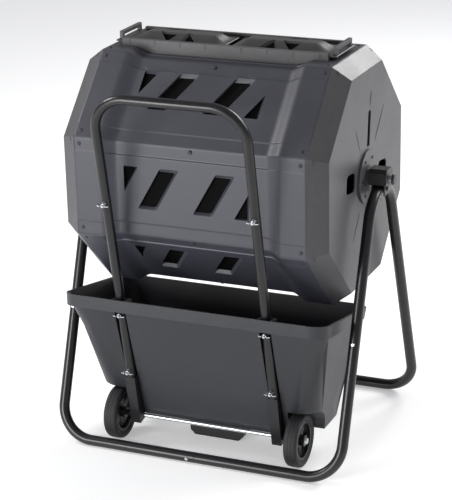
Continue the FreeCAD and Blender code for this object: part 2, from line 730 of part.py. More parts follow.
def make_drum_screws(model):
    """Low screw heads along the panels' ends and edges, and round the hubs."""
    head = button_screw(model.screw_head_radius, model.screw_head_high, 0, 0)
    end_reach = model.half_length - 13
    edge_reach = model.half_edge - 16
    spots = [(x, y, model.half_flats) for x in (-end_reach, end_reach) for y in (-edge_reach, edge_reach)]
    spots.append((0, edge_reach, model.pressed))
    frames = []
    for label, turn in PANELS:
        count = 4 if turn == 0 else 5
        for spot in spots[:count]:
            frames.append(drum_place(model, turn).multiply(Placement(Vector(*spot), Rotation())))
    model.solid("panel_screws", placed_copies(head, frames))
    hub_frames = []
    for _, sign in SIDES:
        face = Placement(Vector(sign * (model.cap_face + model.hub_wall), 0, model.axle_height), side_turn(sign))
        for turn in range(30, 390, 60):
            spin = Placement(Vector(), Rotation(AXIS_X, turn))
            out = Placement(Vector(0, 0, model.hub_hole_ring), Rotation(AXIS_Y, 90))
            hub_frames.append(face.multiply(spin).multiply(out))
    model.solid("hub_screws", placed_copies(head, hub_frames))


# ---------------------------------------------------------------- doors

def make_door_rails(model):
    """A grooved rail on each side of the filling openings; it follows the pressed panel below it."""
    for label, turn in (("front_door_rail", 0), ("rear_door_rail", 180)):
        shift = Rotation(AXIS_Z, turn).multVec(Vector(0, -model.rail_middle, model.axle_height))
        body = model.body(label, Placement(shift, Rotation(AXIS_Z, turn)))
        profile = sketch_on(body, "XZ_Plane", "Profile")
        corners = [
            ("-rail_end", "half_flats"),
            ("-ramp_end", "half_flats"),
            ("-ramp_start", "pressed"),
            ("ramp_start", "pressed"),
            ("ramp_end", "half_flats"),
            ("rail_end", "half_flats"),
            ("rail_end", "half_flats + rail_high"),
            ("-rail_end", "half_flats + rail_high"),
        ]
        add_polygon(profile, corners)
        pad(body, profile, "rail_wide", True)
        groove = sketch_on(body, "YZ_Plane", "Groove")
        near, far = "rail_wide / 2 - (rail_wide - rail_web)", "rail_wide / 2 + 1"
        low = "half_flats + door_lift - door_slack"
        high = "half_flats + door_lift + door_wall + door_slack"
        add_polygon(groove, [(near, low), (far, low), (far, high), (near, high)])
        cut_through(body, groove)


def make_doors(model):
    """Two sliding doors: a flange in the rails' grooves, a raised hollow middle and a flat end with a grip."""
    foot = "half_flats + door_lift"
    deck = "half_flats + door_lift + door_wall"
    crown = "half_flats + door_rise"
    hat = [
        ("-door_half_width", foot),
        ("-door_half_width", deck),
        ("-door_dome_foot", deck),
        ("-door_dome_top", crown),
        ("door_dome_top", crown),
        ("door_dome_foot", deck),
        ("door_half_width", deck),
        ("door_half_width", foot),
        ("door_dome_foot - door_wall", foot),
        ("door_dome_top - door_wall / 2", f"{crown} - door_wall"),
        ("-door_dome_top + door_wall / 2", f"{crown} - door_wall"),
        ("-door_dome_foot + door_wall", foot),
    ]
    end_wall = [
        ("-door_dome_foot + 1", foot),
        ("-door_dome_top + 0.5", f"{crown} - 1"),
        ("door_dome_top - 0.5", f"{crown} - 1"),
        ("door_dome_foot - 1", foot),
    ]
    flat = [
        ("-door_half_width", foot),
        ("-door_half_width", deck),
        ("door_half_width", deck),
        ("door_half_width", foot),
    ]
    grip = [
        ("-grip_half_width", deck),
        ("-grip_half_width", "half_flats + grip_rise"),
        ("grip_half_width", "half_flats + grip_rise"),
        ("grip_half_width", deck),
        ("grip_half_width - grip_bar", deck),
        ("grip_half_width - grip_bar", "half_flats + grip_rise - grip_bar"),
        ("-grip_half_width + grip_bar", "half_flats + grip_rise - grip_bar"),
        ("-grip_half_width + grip_bar", deck),
    ]
    hat_end = "door_end - grip_room"
    sections = [
        ("Dome", hat, "door_mid_gap", f"{hat_end} - door_mid_gap"),
        ("InnerWall", end_wall, "door_mid_gap", "door_wall"),
        ("OuterWall", end_wall, f"{hat_end} - door_wall", "door_wall"),
        ("Flat", flat, f"{hat_end} - 1", "grip_room + 1"),
    ]
    for side, sign in SIDES:
        place = Placement(Vector(0, 0, model.axle_height), side_turn(sign))
        door = model.body(f"{side}_door", place)
        for name, corners, start, length in sections:
            outline = sketch_on(door, "YZ_Plane", name, start)
            add_polygon(outline, corners)
            pad(door, outline, length)
            model.doc.recompute()
        bar = model.body(f"{side}_door_grip", place)
        outline = sketch_on(bar, "YZ_Plane", "Bar", "door_end - 4 - grip_bar")
        add_polygon(outline, grip)
        pad(bar, outline, "grip_bar")


# ---------------------------------------------------------------- cart

def handle_place(model, x=0):
    """The handle's frame: Z runs up along its leaning tubes, from the floor."""
    return Placement(Vector(x, model.handle_at_floor, 0), Rotation(AXIS_X, model.handle_lean))


def make_handle(model):
    """The bent top of the handle and the two leg tubes that it plugs onto."""
    loop = model.body("handle_loop", handle_place(model))
    path = sketch_on(loop, "XZ_Plane", "Path")
    corners = [("0", "handle_rise"), ("handle_half_width", "handle_rise"), ("handle_half_width", "joint_rise")]
    add_bent_path(path, corners, "handle_bend")
    model.doc.recompute()
    half = tube_along(loop, path, "YZ_Plane", "handle_radius", "handle_wall", "0", "handle_rise")
    model.doc.recompute()
    mirror_copy(loop, half, "YZ_Plane")
    radius = model.handle_radius - model.handle_wall - model.spigot_slack
    spigot = Part.makeCylinder(radius, 2 * model.spigot_reach, Vector(0, 0, -model.spigot_reach))
    frames = []
    for side, sign in SIDES:
        leg = model.body(f"{side}_handle_leg", handle_place(model, sign * model.handle_half_width))
        ring = sketch_on(leg, "XY_Plane", "Ring", "foot_rise")
        add_circle(ring, "handle_radius")
        add_circle(ring, "handle_radius - handle_wall")
        pad(leg, ring, "joint_rise - foot_rise")
        up = Placement(Vector(0, 0, model.joint_rise), Rotation())
        frames.append(handle_place(model, sign * model.handle_half_width).multiply(up))
    model.solid("handle_spigots", placed_copies(spigot, frames))


WING_BOLT_HEIGHTS = (625, 345, 192)


def make_wing_bolts(model):
    """Bolts through the handle's tubes, each with a wing nut on the -Y side. The top pair only holds the loop."""
    start = model.handle_radius
    nut = Part.makeCone(model.wing_nut_foot, model.wing_nut_top, model.wing_nut_high, Vector(0, 0, start))
    wing_foot = Vector(model.wing_start, -model.wing_thick / 2, start + model.wing_raise)
    wing = Part.makeBox(model.wing_wide, model.wing_thick, model.wing_high, wing_foot)
    wing.rotate(Vector(0, 0, start + model.wing_raise), AXIS_Y, model.wing_lean)
    other = wing.mirror(Vector(), AXIS_X)
    upper, lower = [], []
    for _, sign in SIDES:
        frame = handle_place(model, sign * model.handle_half_width)
        for height in WING_BOLT_HEIGHTS:
            rise = height / math.cos(math.radians(model.handle_lean))
            place = frame.multiply(Placement(Vector(0, 0, rise), Rotation(AXIS_X, 90)))
            (upper if height > model.handle_joint_height else lower).append(place)
    copies = []
    for reach, places in ((start, upper), (model.arm_back, lower)):
        behind = reach + model.wing_head_high
        length = behind + start + model.wing_bolt_end
        bolt = Part.makeCylinder(model.wing_bolt_radius, length, Vector(0, 0, -behind))
        head = Part.makeCylinder(model.wing_head_radius, model.wing_head_high, Vector(0, 0, -behind))
        shape = bolt.multiFuse([head, nut, wing, other]).removeSplitter()
        copies.append(placed_copies(shape, places))
    model.solid("wing_bolts", Part.Compound([solid for group in copies for solid in group.Solids]))


def make_axle_arms(model):
    """Arms that carry the cart's axle, with a plate up behind each leg tube."""
    low = "axle_rise - arm_below"
    block_top = "foot_rise - 1"
    plate_front = "handle_radius + arm_plate_gap"
    side_view = [
        ("-arm_front", low),
        ("arm_back", low),
        ("arm_back", "arm_rise"),
        (plate_front, "arm_rise"),
        (plate_front, block_top),
        ("-arm_front", block_top),
    ]
    for side, sign in SIDES:
        arm = model.body(f"{side}_axle_arm", handle_place(model, sign * model.handle_half_width))
        outline = sketch_on(arm, "YZ_Plane", "Side")
        add_polygon(outline, side_view)
        pad(arm, outline, "arm_wide", True)
        bore = sketch_on(arm, "YZ_Plane", "Bore")
        add_circle(bore, "cart_axle_radius + axle_slack", "axle_back", "axle_rise")
        cut_through(arm, bore)


def rounded_wire(half_long, depth, radius, place):
    """A rounded rectangle with its front edge's middle at place; its depth runs along the place's Y."""
    inset = radius * (1 - math.cos(math.radians(45)))
    x, r = half_long, radius
    edges = [
        Part.LineSegment(Vector(-x + r, 0, 0), Vector(x - r, 0, 0)),
        Part.Arc(Vector(x - r, 0, 0), Vector(x - inset, inset, 0), Vector(x, r, 0)),
        Part.LineSegment(Vector(x, r, 0), Vector(x, depth - r, 0)),
        Part.Arc(Vector(x, depth - r, 0), Vector(x - inset, depth - inset, 0), Vector(x - r, depth, 0)),
        Part.LineSegment(Vector(x - r, depth, 0), Vector(-x + r, depth, 0)),
        Part.Arc(Vector(-x + r, depth, 0), Vector(-x + inset, depth - inset, 0), Vector(-x, depth - r, 0)),
        Part.LineSegment(Vector(-x, depth - r, 0), Vector(-x, r, 0)),
        Part.Arc(Vector(-x, r, 0), Vector(-x + inset, inset, 0), Vector(-x + r, 0, 0)),
    ]
    wire = Part.Wire([edge.toShape() for edge in edges])
    wire.Placement = place
    return wire


def rim_wire(model, grow):
    """The tub's rim line on its falling plane, moved outwards by grow."""
    tilt = math.atan2(model.rim_fall, model.rim_depth)
    depth = model.rim_depth / math.cos(tilt)
    front = model.handle_at_floor - model.lean_run * model.rim_front_height
    front -= model.handle_radius / math.cos(math.radians(model.handle_lean)) + model.rim_handle_gap
    front -= model.tub_wall
    place = Placement(Vector(0, front, model.rim_front_height), Rotation(AXIS_X, -math.degrees(tilt)))
    place = place.multiply(Placement(Vector(0, -grow, 0), Rotation()))
    return rounded_wire(model.rim_half_length + grow, depth + 2 * grow, model.rim_corner + grow, place)


def floor_wire(model, grow, height):
    """The tub's underside line, moved outwards by grow, at a height."""
    front = model.handle_at_floor - model.lean_run * model.tub_floor_height + model.tub_front_gap
    place = Placement(Vector(0, front - grow, height), Rotation())
    length = model.tub_floor_length + grow
    return rounded_wire(length, model.tub_floor_depth + 2 * grow, model.floor_corner + grow, place)


def tub_cutter(model, thicken):
    """The space that the handle's channels and the wheels' arches take, grown by thicken."""
    half_wide = model.handle_radius + model.channel_slack + thicken
    back = model.arm_back + 1.2 + thicken
    rise = model.rim_front_height + 60
    pieces = []
    for _, sign in SIDES:
        channel = Part.makeBox(2 * half_wide, 90 + back, rise, Vector(-half_wide, -90, 0))
        channel.Placement = handle_place(model, sign * model.handle_half_width)
        pieces.append(channel)
        near = model.wheel_outer - model.wheel_wide - 6 - thicken
        axle = Vector(sign * near, model.cart_axle_place, model.wheel_radius)
        radius = model.wheel_radius + model.arch_slack + thicken
        pieces.append(Part.makeCylinder(radius, 200, axle, AXIS_X * sign))
    return pieces


def make_tub(model):
    """A tapered tub with a banded rim that falls to the back, channels for the handle and wheel arches."""
    wall = model.tub_wall
    low = model.tub_floor_height
    outside = Part.makeLoft([floor_wire(model, 0, low), rim_wire(model, 0)], True, True)
    inside = Part.makeLoft([floor_wire(model, -wall, low + wall), rim_wire(model, -wall)], True, True)
    shell = outside.cut(tub_cutter(model, 0)).cut(inside.cut(tub_cutter(model, wall)))
    band_outside = Part.Face(rim_wire(model, wall)).extrude(Vector(0, 0, -model.rim_band))
    band_inside = Part.Face(rim_wire(model, 0)).extrude(Vector(0, 0, -model.rim_band))
    flange_outside = Part.Face(rim_wire(model, wall)).extrude(Vector(0, 0, -wall))
    flange_inside = Part.Face(rim_wire(model, -wall)).extrude(Vector(0, 0, -wall))
    band = band_outside.cut(band_inside)
    flange = flange_outside.cut(flange_inside)
    model.solid("cart_tub", shell.multiFuse([band, flange]).removeSplitter())


def make_cart_foot(model):
    """The block under the tub that the cart stands on behind its wheels."""
    middle = model.cart_axle_place + model.foot_setback + model.foot_deep / 2
    body = model.body("cart_foot", Placement(Vector(-model.foot_shift, middle, 0), Rotation()))
    front = sketch_on(body, "XZ_Plane", "Front")
    corners = [
        ("-foot_long / 2 + foot_bevel", "0"),
        ("foot_long / 2 - foot_bevel", "0"),
        ("foot_long / 2", "foot_bevel"),
        ("foot_long / 2", "tub_floor_height"),
        ("-foot_long / 2", "tub_floor_height"),
        ("-foot_long / 2", "foot_bevel"),
    ]
    add_polygon(front, corners)
    pad(body, front, "foot_deep", True)


# ---------------------------------------------------------------- cart's wheels

def revolve(body, sketch):
    """Turn the sketch's outline right round the body's X axis."""
    feature = body.newObject("PartDesign::Revolution", "Turned")
    feature.Profile = sketch
    axis = [item for item in body.Origin.OriginFeatures if item.Role == "X_Axis"]
    feature.ReferenceAxis = (axis[0], [""])
    feature.Angle = 360
    return feature


def make_wheels(model):
    """A tyre on a five-spoked hub at each end of the cart's axle."""
    half = "wheel_wide / 2"
    tyre_section = [
        (f"-{half} + 2", "rim_radius + 0.05"),
        (f"{half} - 2", "rim_radius + 0.05"),
        (half, "rim_radius + 3"),
        (half, "wheel_radius - 7"),
        (f"{half} - 2", "wheel_radius - 3"),
        (f"{half} - 6", "wheel_radius"),
        (f"-{half} + 6", "wheel_radius"),
        (f"-{half} + 2", "wheel_radius - 3"),
        (f"-{half}", "wheel_radius - 7"),
        (f"-{half}", "rim_radius + 3"),
    ]
    bore = "cart_axle_radius + axle_slack"
    hub_section = [
        (f"-{half}", bore),
        (half, bore),
        (half, "13"),
        ("4", "13"),
        ("4", "rim_radius - 6"),
        (f"{half} - 3", "rim_radius - 6"),
        (f"{half} - 3", "rim_radius"),
        (f"-{half} + 3", "rim_radius"),
        (f"-{half} + 3", "rim_radius - 6"),
        ("-4", "rim_radius - 6"),
        ("-4", "13"),
        (f"-{half}", "13"),
    ]
    window = [
        ("-5", "17"),
        ("5", "17"),
        ("16", "rim_radius - 10"),
        ("-16", "rim_radius - 10"),
    ]
    for side, sign in SIDES:
        middle = Vector(sign * (model.wheel_outer - model.wheel_wide / 2), model.cart_axle_place, model.wheel_radius)
        for label, section in ((f"{side}_tyre", tyre_section), (f"{side}_wheel_hub", hub_section)):
            body = model.body(label, Placement(middle, Rotation()))
            outline = sketch_on(body, "XZ_Plane", "Section")
            add_polygon(outline, section)
            revolve(body, outline)
        model.doc.recompute()
        opening = sketch_on(body, "YZ_Plane", "Window")
        add_polygon(opening, window)
        cut = cut_through(body, opening)
        model.doc.recompute()
        pattern = body.newObject("PartDesign::PolarPattern", "Windows")
        pattern.Originals = [cut]
        axis = [item for item in body.Origin.OriginFeatures if item.Role == "X_Axis"]
        pattern.Axis = (axis[0], [""])
        pattern.Angle = 360
        pattern.Occurrences = 5
        body.Tip = pattern


def make_cart_axle(model):
    """The cart's axle, with a spacer inside each wheel and a cap outside it."""
    half_long = model.wheel_outer + 4
    start = Vector(-half_long, model.cart_axle_place, model.wheel_radius)
    make_round_bar(model, "cart_axle", "cart_axle_radius", "wheel_outer + 4", start)
    near = model.handle_half_width + model.arm_wide / 2 + 0.6
    far = model.wheel_outer - model.wheel_wide - 0.6
    bore = model.cart_axle_radius + model.seat_slack
    sleeve = Part.makeCylinder(model.spacer_radius, far - near).cut(Part.makeCylinder(bore, far - near))
    cap = Part.makeCone(9, 6.5, 5).cut(Part.makeCylinder(bore, 3.4))
    for label, shape, reach in (("axle_spacers", sleeve, near), ("axle_caps", cap, model.wheel_outer + 0.6)):
        frames = [
            Placement(Vector(sign * reach, model.cart_axle_place, model.wheel_radius), Rotation(AXIS_Y, 90 * sign))
            for _, sign in SIDES
        ]
        model.solid(label, placed_copies(shape, frames))


# ---------------------------------------------------------------- checks and files

def check_document(model):
    """Stop if any object failed, or any sub-part's shape is empty or broken."""
    faults = [item.Name for item in model.doc.Objects if {"Invalid", "Error"} & set(item.State)]
    for piece in model.pieces:
        if piece.Shape.isNull() or not piece.Shape.isValid() or not piece.Shape.Solids:
            faults.append(piece.Label)
    if faults:
        raise RuntimeError("these objects failed: " + ", ".join(faults))


def write_parts(model):
    os.makedirs("parts", exist_ok=True)
    for piece in model.pieces:
        piece.Shape.exportStep(os.path.join("parts", piece.Label + ".step"))
        box = piece.Shape.BoundBox
        print(f"{piece.Label}: {len(piece.Shape.Solids)} solid(s), {piece.Shape.Volume / 1000:.1f} cm3,"
              f" Z {box.ZMin:.1f} to {box.ZMax:.1f}")


def main():
    model = Model("CompostTumbler")
    make_a_frames(model)
    make_lower_legs(model)
    make_stand_fixings(model)
    make_axle_brackets(model)
    make_panels(model)
    make_end_caps(model)
    make_hubs(model)
    make_divider(model)
    make_drum_axle(model)
    make_drum_screws(model)
    make_door_rails(model)
    make_doors(model)
    make_handle(model)
    make_wing_bolts(model)
    make_axle_arms(model)
    make_tub(model)
    make_cart_foot(model)
    make_wheels(model)
    make_cart_axle(model)
    model.doc.recompute()
    check_document(model)
    write_parts(model)


main()
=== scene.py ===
# %% [markdown]
# # A compost tumbler, dressed for the camera
# This lesson gives each piece the surface that a moulded, bent or plated part has, and remakes the
# pieces whose looks need more than a plain solid. Everything is in metres.

# %% Load the frame
import json
import math

import bmesh
import bpy
from mathutils import Matrix, Quaternion, Vector
from mathutils.geometry import delaunay_2d_cdt


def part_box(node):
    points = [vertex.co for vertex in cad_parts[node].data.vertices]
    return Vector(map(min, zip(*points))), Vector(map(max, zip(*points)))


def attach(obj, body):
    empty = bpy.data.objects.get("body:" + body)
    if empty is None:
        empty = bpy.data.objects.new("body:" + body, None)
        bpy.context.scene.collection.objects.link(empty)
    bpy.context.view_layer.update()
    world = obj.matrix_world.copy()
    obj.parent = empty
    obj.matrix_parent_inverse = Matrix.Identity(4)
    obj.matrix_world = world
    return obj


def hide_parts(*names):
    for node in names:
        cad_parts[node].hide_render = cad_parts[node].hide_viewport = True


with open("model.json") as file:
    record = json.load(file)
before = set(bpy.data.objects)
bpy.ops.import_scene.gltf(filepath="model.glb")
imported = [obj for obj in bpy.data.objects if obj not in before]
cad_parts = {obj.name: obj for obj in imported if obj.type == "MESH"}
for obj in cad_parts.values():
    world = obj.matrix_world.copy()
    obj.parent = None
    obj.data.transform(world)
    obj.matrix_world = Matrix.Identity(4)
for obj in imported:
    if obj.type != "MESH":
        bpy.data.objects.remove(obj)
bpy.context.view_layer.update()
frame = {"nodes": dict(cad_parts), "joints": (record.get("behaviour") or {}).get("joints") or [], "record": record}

MM = 0.001
JOINTS = {joint["name"]: joint for joint in frame["joints"]}
AXLE_Z = JOINTS["drum_spin"]["pos_m"][2]
print("pieces from the frame:", len(frame["nodes"]))

# %% [markdown]
# ## The camera
# The camera stands a little above the tumbler and to its right, with a long lens, as a product
# camera does. Its place and turn are kept as a matrix of three directions, so that the small roll
# can be read in one line.

# %% Place the camera
CAMERA_PLACE = Vector((1.623, -3.794, 1.885))
LENS, SENSOR, RISE = 133.96, 36, 0.0431
AZIMUTH, ELEVATION, ROLL = math.radians(23.59), math.radians(20.11), math.radians(-1.29)
level_reach = math.cos(ELEVATION)
back = Vector((math.sin(AZIMUTH) * level_reach, -math.cos(AZIMUTH) * level_reach, math.sin(ELEVATION)))
level = Vector((math.cos(AZIMUTH), math.sin(AZIMUTH), 0))
upright = back.cross(level)
across = level * math.cos(ROLL) + upright * math.sin(ROLL)
above = upright * math.cos(ROLL) - level * math.sin(ROLL)
camera_data = bpy.data.cameras.new("camera")
camera_data.lens = LENS
camera_data.sensor_width = SENSOR
camera_data.shift_y = RISE
camera = bpy.data.objects.new("camera", camera_data)
camera.matrix_world = Matrix.Translation(CAMERA_PLACE) @ Matrix((across, above, back)).transposed().to_4x4()
bpy.context.collection.objects.link(camera)
bpy.context.scene.camera = camera
print("camera distance:", round((CAMERA_PLACE - Vector((0, 0, AXLE_Z))).length, 3))

# %% [markdown]
# ## Floor and light
# A pale floor, a white surround and four soft lamps give the light of a catalogue: one behind the
# right end that lightens the flat of the end cap, one low at the front, one on the left that draws
# lines along the tubes, and one far behind that lays a sheen on the upper bevels.

# %% Build the studio
def linear(hex_colour, alpha=1.0):
    """An sRGB hex colour as the linear numbers that shaders want."""
    channels = [int(hex_colour[i:i + 2], 16) / 255 for i in (1, 3, 5)]
    return tuple(c / 12.92 if c <= 0.04045 else ((c + 0.055) / 1.055) ** 2.4 for c in channels) + (alpha,)


def node(tree, kind, inputs=None, **settings):
    """Add a node, set its settings, and set or link its inputs."""
    made = tree.nodes.new(kind)
    for name, value in settings.items():
        setattr(made, name, value)
    for name, value in (inputs or {}).items():
        if isinstance(value, bpy.types.NodeSocket):
            tree.links.new(value, made.inputs[name])
        else:
            made.inputs[name].default_value = value
    return made


def keep_object(name, mesh):
    made = bpy.data.objects.new(name, mesh)
    bpy.context.collection.objects.link(made)
    return made


def build_studio():
    world = bpy.data.worlds.new("studio")
    world.use_nodes = True
    tree = world.node_tree
    seen = node(tree, "ShaderNodeLightPath").outputs["Is Camera Ray"]
    shine = node(tree, "ShaderNodeMapRange", {"Value": seen, "To Min": 0.35, "To Max": 1.15})
    tree.links.new(shine.outputs["Result"], tree.nodes["Background"].inputs["Strength"])
    tree.nodes["Background"].inputs["Color"].default_value = linear("#fafbff")
    bpy.context.scene.world = world
    lamps = [
        ("cap_side", (2.7, 2.1, 2.6), 1.5, 58),
        ("front", (-1.7, -3.8, 0.9), 1.6, 96),
        ("strip", (-2.6, -0.6, 2.4), 0.9, 42),
        ("sheen", (0.9, 3.5, 2.6), 1.3, 55),
    ]
    for name, place, size, power in lamps:
        lamp = bpy.data.lights.new(name, "AREA")
        lamp.size = size
        lamp.energy = power
        holder = bpy.data.objects.new(name, lamp)
        aim = Vector(place) - Vector((0, 0, 0.55))
        holder.matrix_world = Matrix.Translation(place) @ aim.to_track_quat("Z", "Y").to_matrix().to_4x4()
        bpy.context.collection.objects.link(holder)
    mesh = bpy.data.meshes.new("floor")
    reach = 9.0
    corners = [(-reach, -reach, 0), (reach, -reach, 0), (reach, reach, 0), (-reach, reach, 0)]
    mesh.from_pydata(corners, [], [(0, 1, 2, 3)])
    floor = keep_object("floor", mesh)
    paint = bpy.data.materials.new("studio_paper")
    paint.use_nodes = True
    shader = paint.node_tree.nodes["Principled BSDF"]
    shader.inputs["Base Color"].default_value = linear("#fbfbfb")
    shader.inputs["Emission Color"].default_value = linear("#ffffff")
    shader.inputs["Emission Strength"].default_value = 0.34
    shader.inputs["Roughness"].default_value = 0.9
    mesh.materials.append(paint)


build_studio()
bpy.context.scene.view_settings.view_transform = "Standard"
print("studio ready")

# %% [markdown]
# ## Moulded plastic
# The drum, lids and tub are injection-moulded polypropylene coloured in the mass. The steel mould
# was spark-eroded, so the plastic leaves it with a fine even grain that spreads highlights. Two
# slow patterns stand for the flow of the melt and for handling marks, and corners are a touch paler
# where they rub. The grain is a quarter of a millimetre on the real thing; it is drawn at two
# millimetres, because a finer one would vanish in the picture.

# %% Make the plastics
GRAIN = 2.0 * MM
FLOW = 90 * MM


def surface(name):
    """An empty material, its node tree, its shader and the piece's own coordinates."""
    material = bpy.data.materials.new(name)
    material.use_nodes = True
    tree = material.node_tree
    coordinates = node(tree, "ShaderNodeTexCoord").outputs["Object"]
    return material, tree, tree.nodes["Principled BSDF"], coordinates


def moulded_plastic(name, deep, pale, worn, roughness, top_light=0.0, grain=0.12):
    material, tree, shader, here = surface(name)
    flow = node(tree, "ShaderNodeTexNoise", {
        "Vector": here, "Scale": 1 / FLOW, "Detail": 6.0, "Roughness": 0.62})
    tone = node(tree, "ShaderNodeMix", {"Factor": flow.outputs["Fac"]}, data_type="RGBA")
    tone.inputs[6].default_value = linear(deep)
    tone.inputs[7].default_value = linear(pale)
    corner = node(tree, "ShaderNodeNewGeometry").outputs["Pointiness"]
    sharp = node(tree, "ShaderNodeMapRange", {
        "Value": corner, "From Min": 0.52, "From Max": 0.62, "To Max": 0.55})
    rub = node(tree, "ShaderNodeTexNoise", {"Vector": here, "Scale": 1 / (14 * MM), "Detail": 4.0})
    wear = node(tree, "ShaderNodeMath", {
        0: sharp.outputs["Result"], 1: rub.outputs["Fac"]}, operation="MULTIPLY")
    edged = node(tree, "ShaderNodeMix", {
        "Factor": wear.outputs["Value"], 6: tone.outputs[2]}, data_type="RGBA")
    edged.inputs[7].default_value = linear(worn)
    colour = edged.outputs[2]
    # Faces that look up are mixed towards a pale grey by the given amount: painted light from above, strongest on
    # the upper bevels of the end caps.
    if top_light:
        normal = node(tree, "ShaderNodeNewGeometry").outputs["Normal"]
        facing = node(tree, "ShaderNodeSeparateXYZ", {0: normal})
        top_light_mask = node(tree, "ShaderNodeMapRange", {
            "Value": facing.outputs["Z"], "From Min": 0.35, "To Max": top_light})
        top_lit_mix = node(tree, "ShaderNodeMix", {
            "Factor": top_light_mask.outputs["Result"], 6: colour}, data_type="RGBA")
        top_lit_mix.inputs[7].default_value = linear("#9a958c")
        colour = top_lit_mix.outputs[2]
    tree.links.new(colour, shader.inputs["Base Color"])
    gloss = node(tree, "ShaderNodeMapRange", {
        "Value": flow.outputs["Fac"], "To Min": roughness - 0.07, "To Max": roughness + 0.08})
    tree.links.new(gloss.outputs["Result"], shader.inputs["Roughness"])
    spark = node(tree, "ShaderNodeTexNoise", {"Vector": here, "Scale": 1 / GRAIN, "Detail": 3.0})
    bump = node(tree, "ShaderNodeBump", {
        "Height": spark.outputs["Fac"], "Strength": grain, "Distance": 0.4 * MM})
    tree.links.new(bump.outputs["Normal"], shader.inputs["Normal"])
    shader.inputs["IOR"].default_value = 1.49
    return material


# The last amount on each line paints the upward faces paler, as painted light from above; the end caps get the
# most.
PANEL_PLASTIC = moulded_plastic(
    "moulded_polypropylene_panel", "#37383f", "#43444d", "#777882", 0.42, top_light=0.04)
CAP_PLASTIC = moulded_plastic("moulded_polypropylene_cap", "#3a3a3d", "#454548", "#7f7f82", 0.40, top_light=0.14)
LID_PLASTIC = moulded_plastic("moulded_polypropylene_lid", "#323234", "#3d3d3f", "#6f6f73", 0.43, top_light=0.06)
TUB_PLASTIC = moulded_plastic("moulded_polypropylene_tub", "#222327", "#2c2d32", "#5c5d64", 0.42, top_light=0.03)
BLACK_PLASTIC = moulded_plastic("moulded_nylon_black", "#141415", "#1d1d1f", "#3c3c3f", 0.42, grain=0.08)
print("plastics made")

# %% [markdown]
# ## Powder coat, zinc and rubber
# The tubes are powder-coated steel: the powder melts into a satin film with a faint orange peel,
# several millimetres from crest to crest. Bolts, wing nuts and the cart's axle are zinc-plated and
# lightly drawn along their length. The tyres are dull carbon-black rubber.

# %% Make the coat, the metal and the rubber
def powder_coat(name, deep, pale):
    material, tree, shader, here = surface(name)
    peel = node(tree, "ShaderNodeTexNoise", {"Vector": here, "Scale": 1 / (4 * MM), "Detail": 2.0})
    cloud = node(tree, "ShaderNodeTexNoise", {"Vector": here, "Scale": 1 / (60 * MM), "Detail": 5.0})
    tone = node(tree, "ShaderNodeMix", {"Factor": cloud.outputs["Fac"]}, data_type="RGBA")
    tone.inputs[6].default_value = linear(deep)
    tone.inputs[7].default_value = linear(pale)
    tree.links.new(tone.outputs[2], shader.inputs["Base Color"])
    gloss = node(tree, "ShaderNodeMapRange", {
        "Value": cloud.outputs["Fac"], "To Min": 0.24, "To Max": 0.36})
    tree.links.new(gloss.outputs["Result"], shader.inputs["Roughness"])
    bump = node(tree, "ShaderNodeBump", {
        "Height": peel.outputs["Fac"], "Strength": 0.12, "Distance": 0.3 * MM})
    tree.links.new(bump.outputs["Normal"], shader.inputs["Normal"])
    return material


def plated_zinc(name):
    material, tree, shader, here = surface(name)
    along, across_grain = 1 / (40 * MM), 1 / (1.2 * MM)
    stretch = node(tree, "ShaderNodeMapping", {"Vector": here, "Scale": (along, across_grain, across_grain)})
    drawn = node(tree, "ShaderNodeTexNoise", {
        "Vector": stretch.outputs["Vector"], "Scale": 1.0, "Detail": 3.0})
    tone = node(tree, "ShaderNodeMix", {"Factor": drawn.outputs["Fac"]}, data_type="RGBA")
    tone.inputs[6].default_value = linear("#b4b8bd")
    tone.inputs[7].default_value = linear("#e4e6e8")
    tree.links.new(tone.outputs[2], shader.inputs["Base Color"])
    gloss = node(tree, "ShaderNodeMapRange", {
        "Value": drawn.outputs["Fac"], "To Min": 0.18, "To Max": 0.34})
    tree.links.new(gloss.outputs["Result"], shader.inputs["Roughness"])
    bump = node(tree, "ShaderNodeBump", {
        "Height": drawn.outputs["Fac"], "Strength": 0.08, "Distance": 0.1 * MM})
    tree.links.new(bump.outputs["Normal"], shader.inputs["Normal"])
    shader.inputs["Metallic"].default_value = 1.0
    return material


def tyre_rubber(name):
    material, tree, shader, here = surface(name)
    scuff = node(tree, "ShaderNodeTexNoise", {
        "Vector": here, "Scale": 1 / (9 * MM), "Detail": 8.0, "Roughness": 0.7})
    tone = node(tree, "ShaderNodeMix", {"Factor": scuff.outputs["Fac"]}, data_type="RGBA")
    tone.inputs[6].default_value = linear("#18181a")
    tone.inputs[7].default_value = linear("#2c2c2f")
    tree.links.new(tone.outputs[2], shader.inputs["Base Color"])
    gloss = node(tree, "ShaderNodeMapRange", {"Value": scuff.outputs["Fac"], "To Min": 0.55, "To Max": 0.8})
    tree.links.new(gloss.outputs["Result"], shader.inputs["Roughness"])
    bump = node(tree, "ShaderNodeBump", {
        "Height": scuff.outputs["Fac"], "Strength": 0.25, "Distance": 0.4 * MM})
    tree.links.new(bump.outputs["Normal"], shader.inputs["Normal"])
    return material


BLACK_COAT = powder_coat("powder_coated_steel_black", "#111113", "#1a1a1d")
ZINC = plated_zinc("zinc_plated_steel")
BLACK_SCREW = powder_coat("black_oxide_steel", "#202023", "#2e2e31")
RUBBER = tyre_rubber("carbon_black_rubber")
print("materials:", len(bpy.data.materials))

# %% [markdown]
# ## Softened copies
# A solid from a CAD kernel has razor edges, and its triangles are loose. A real moulding or cut end
# has a small radius that draws a thin light line. So each plain solid is copied, its triangles are
# merged and its flat faces joined, and a bevel rounds what is sharp. The copy stands for the solid.

# %% Soften the plain solids
BODY_OF = {name: body for body, names in frame["record"]["behaviour"]["bodies"].items() for name in names}


def place_piece(piece, body, replaced=()):
    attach(piece, body)
    if replaced:
        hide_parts(*replaced)


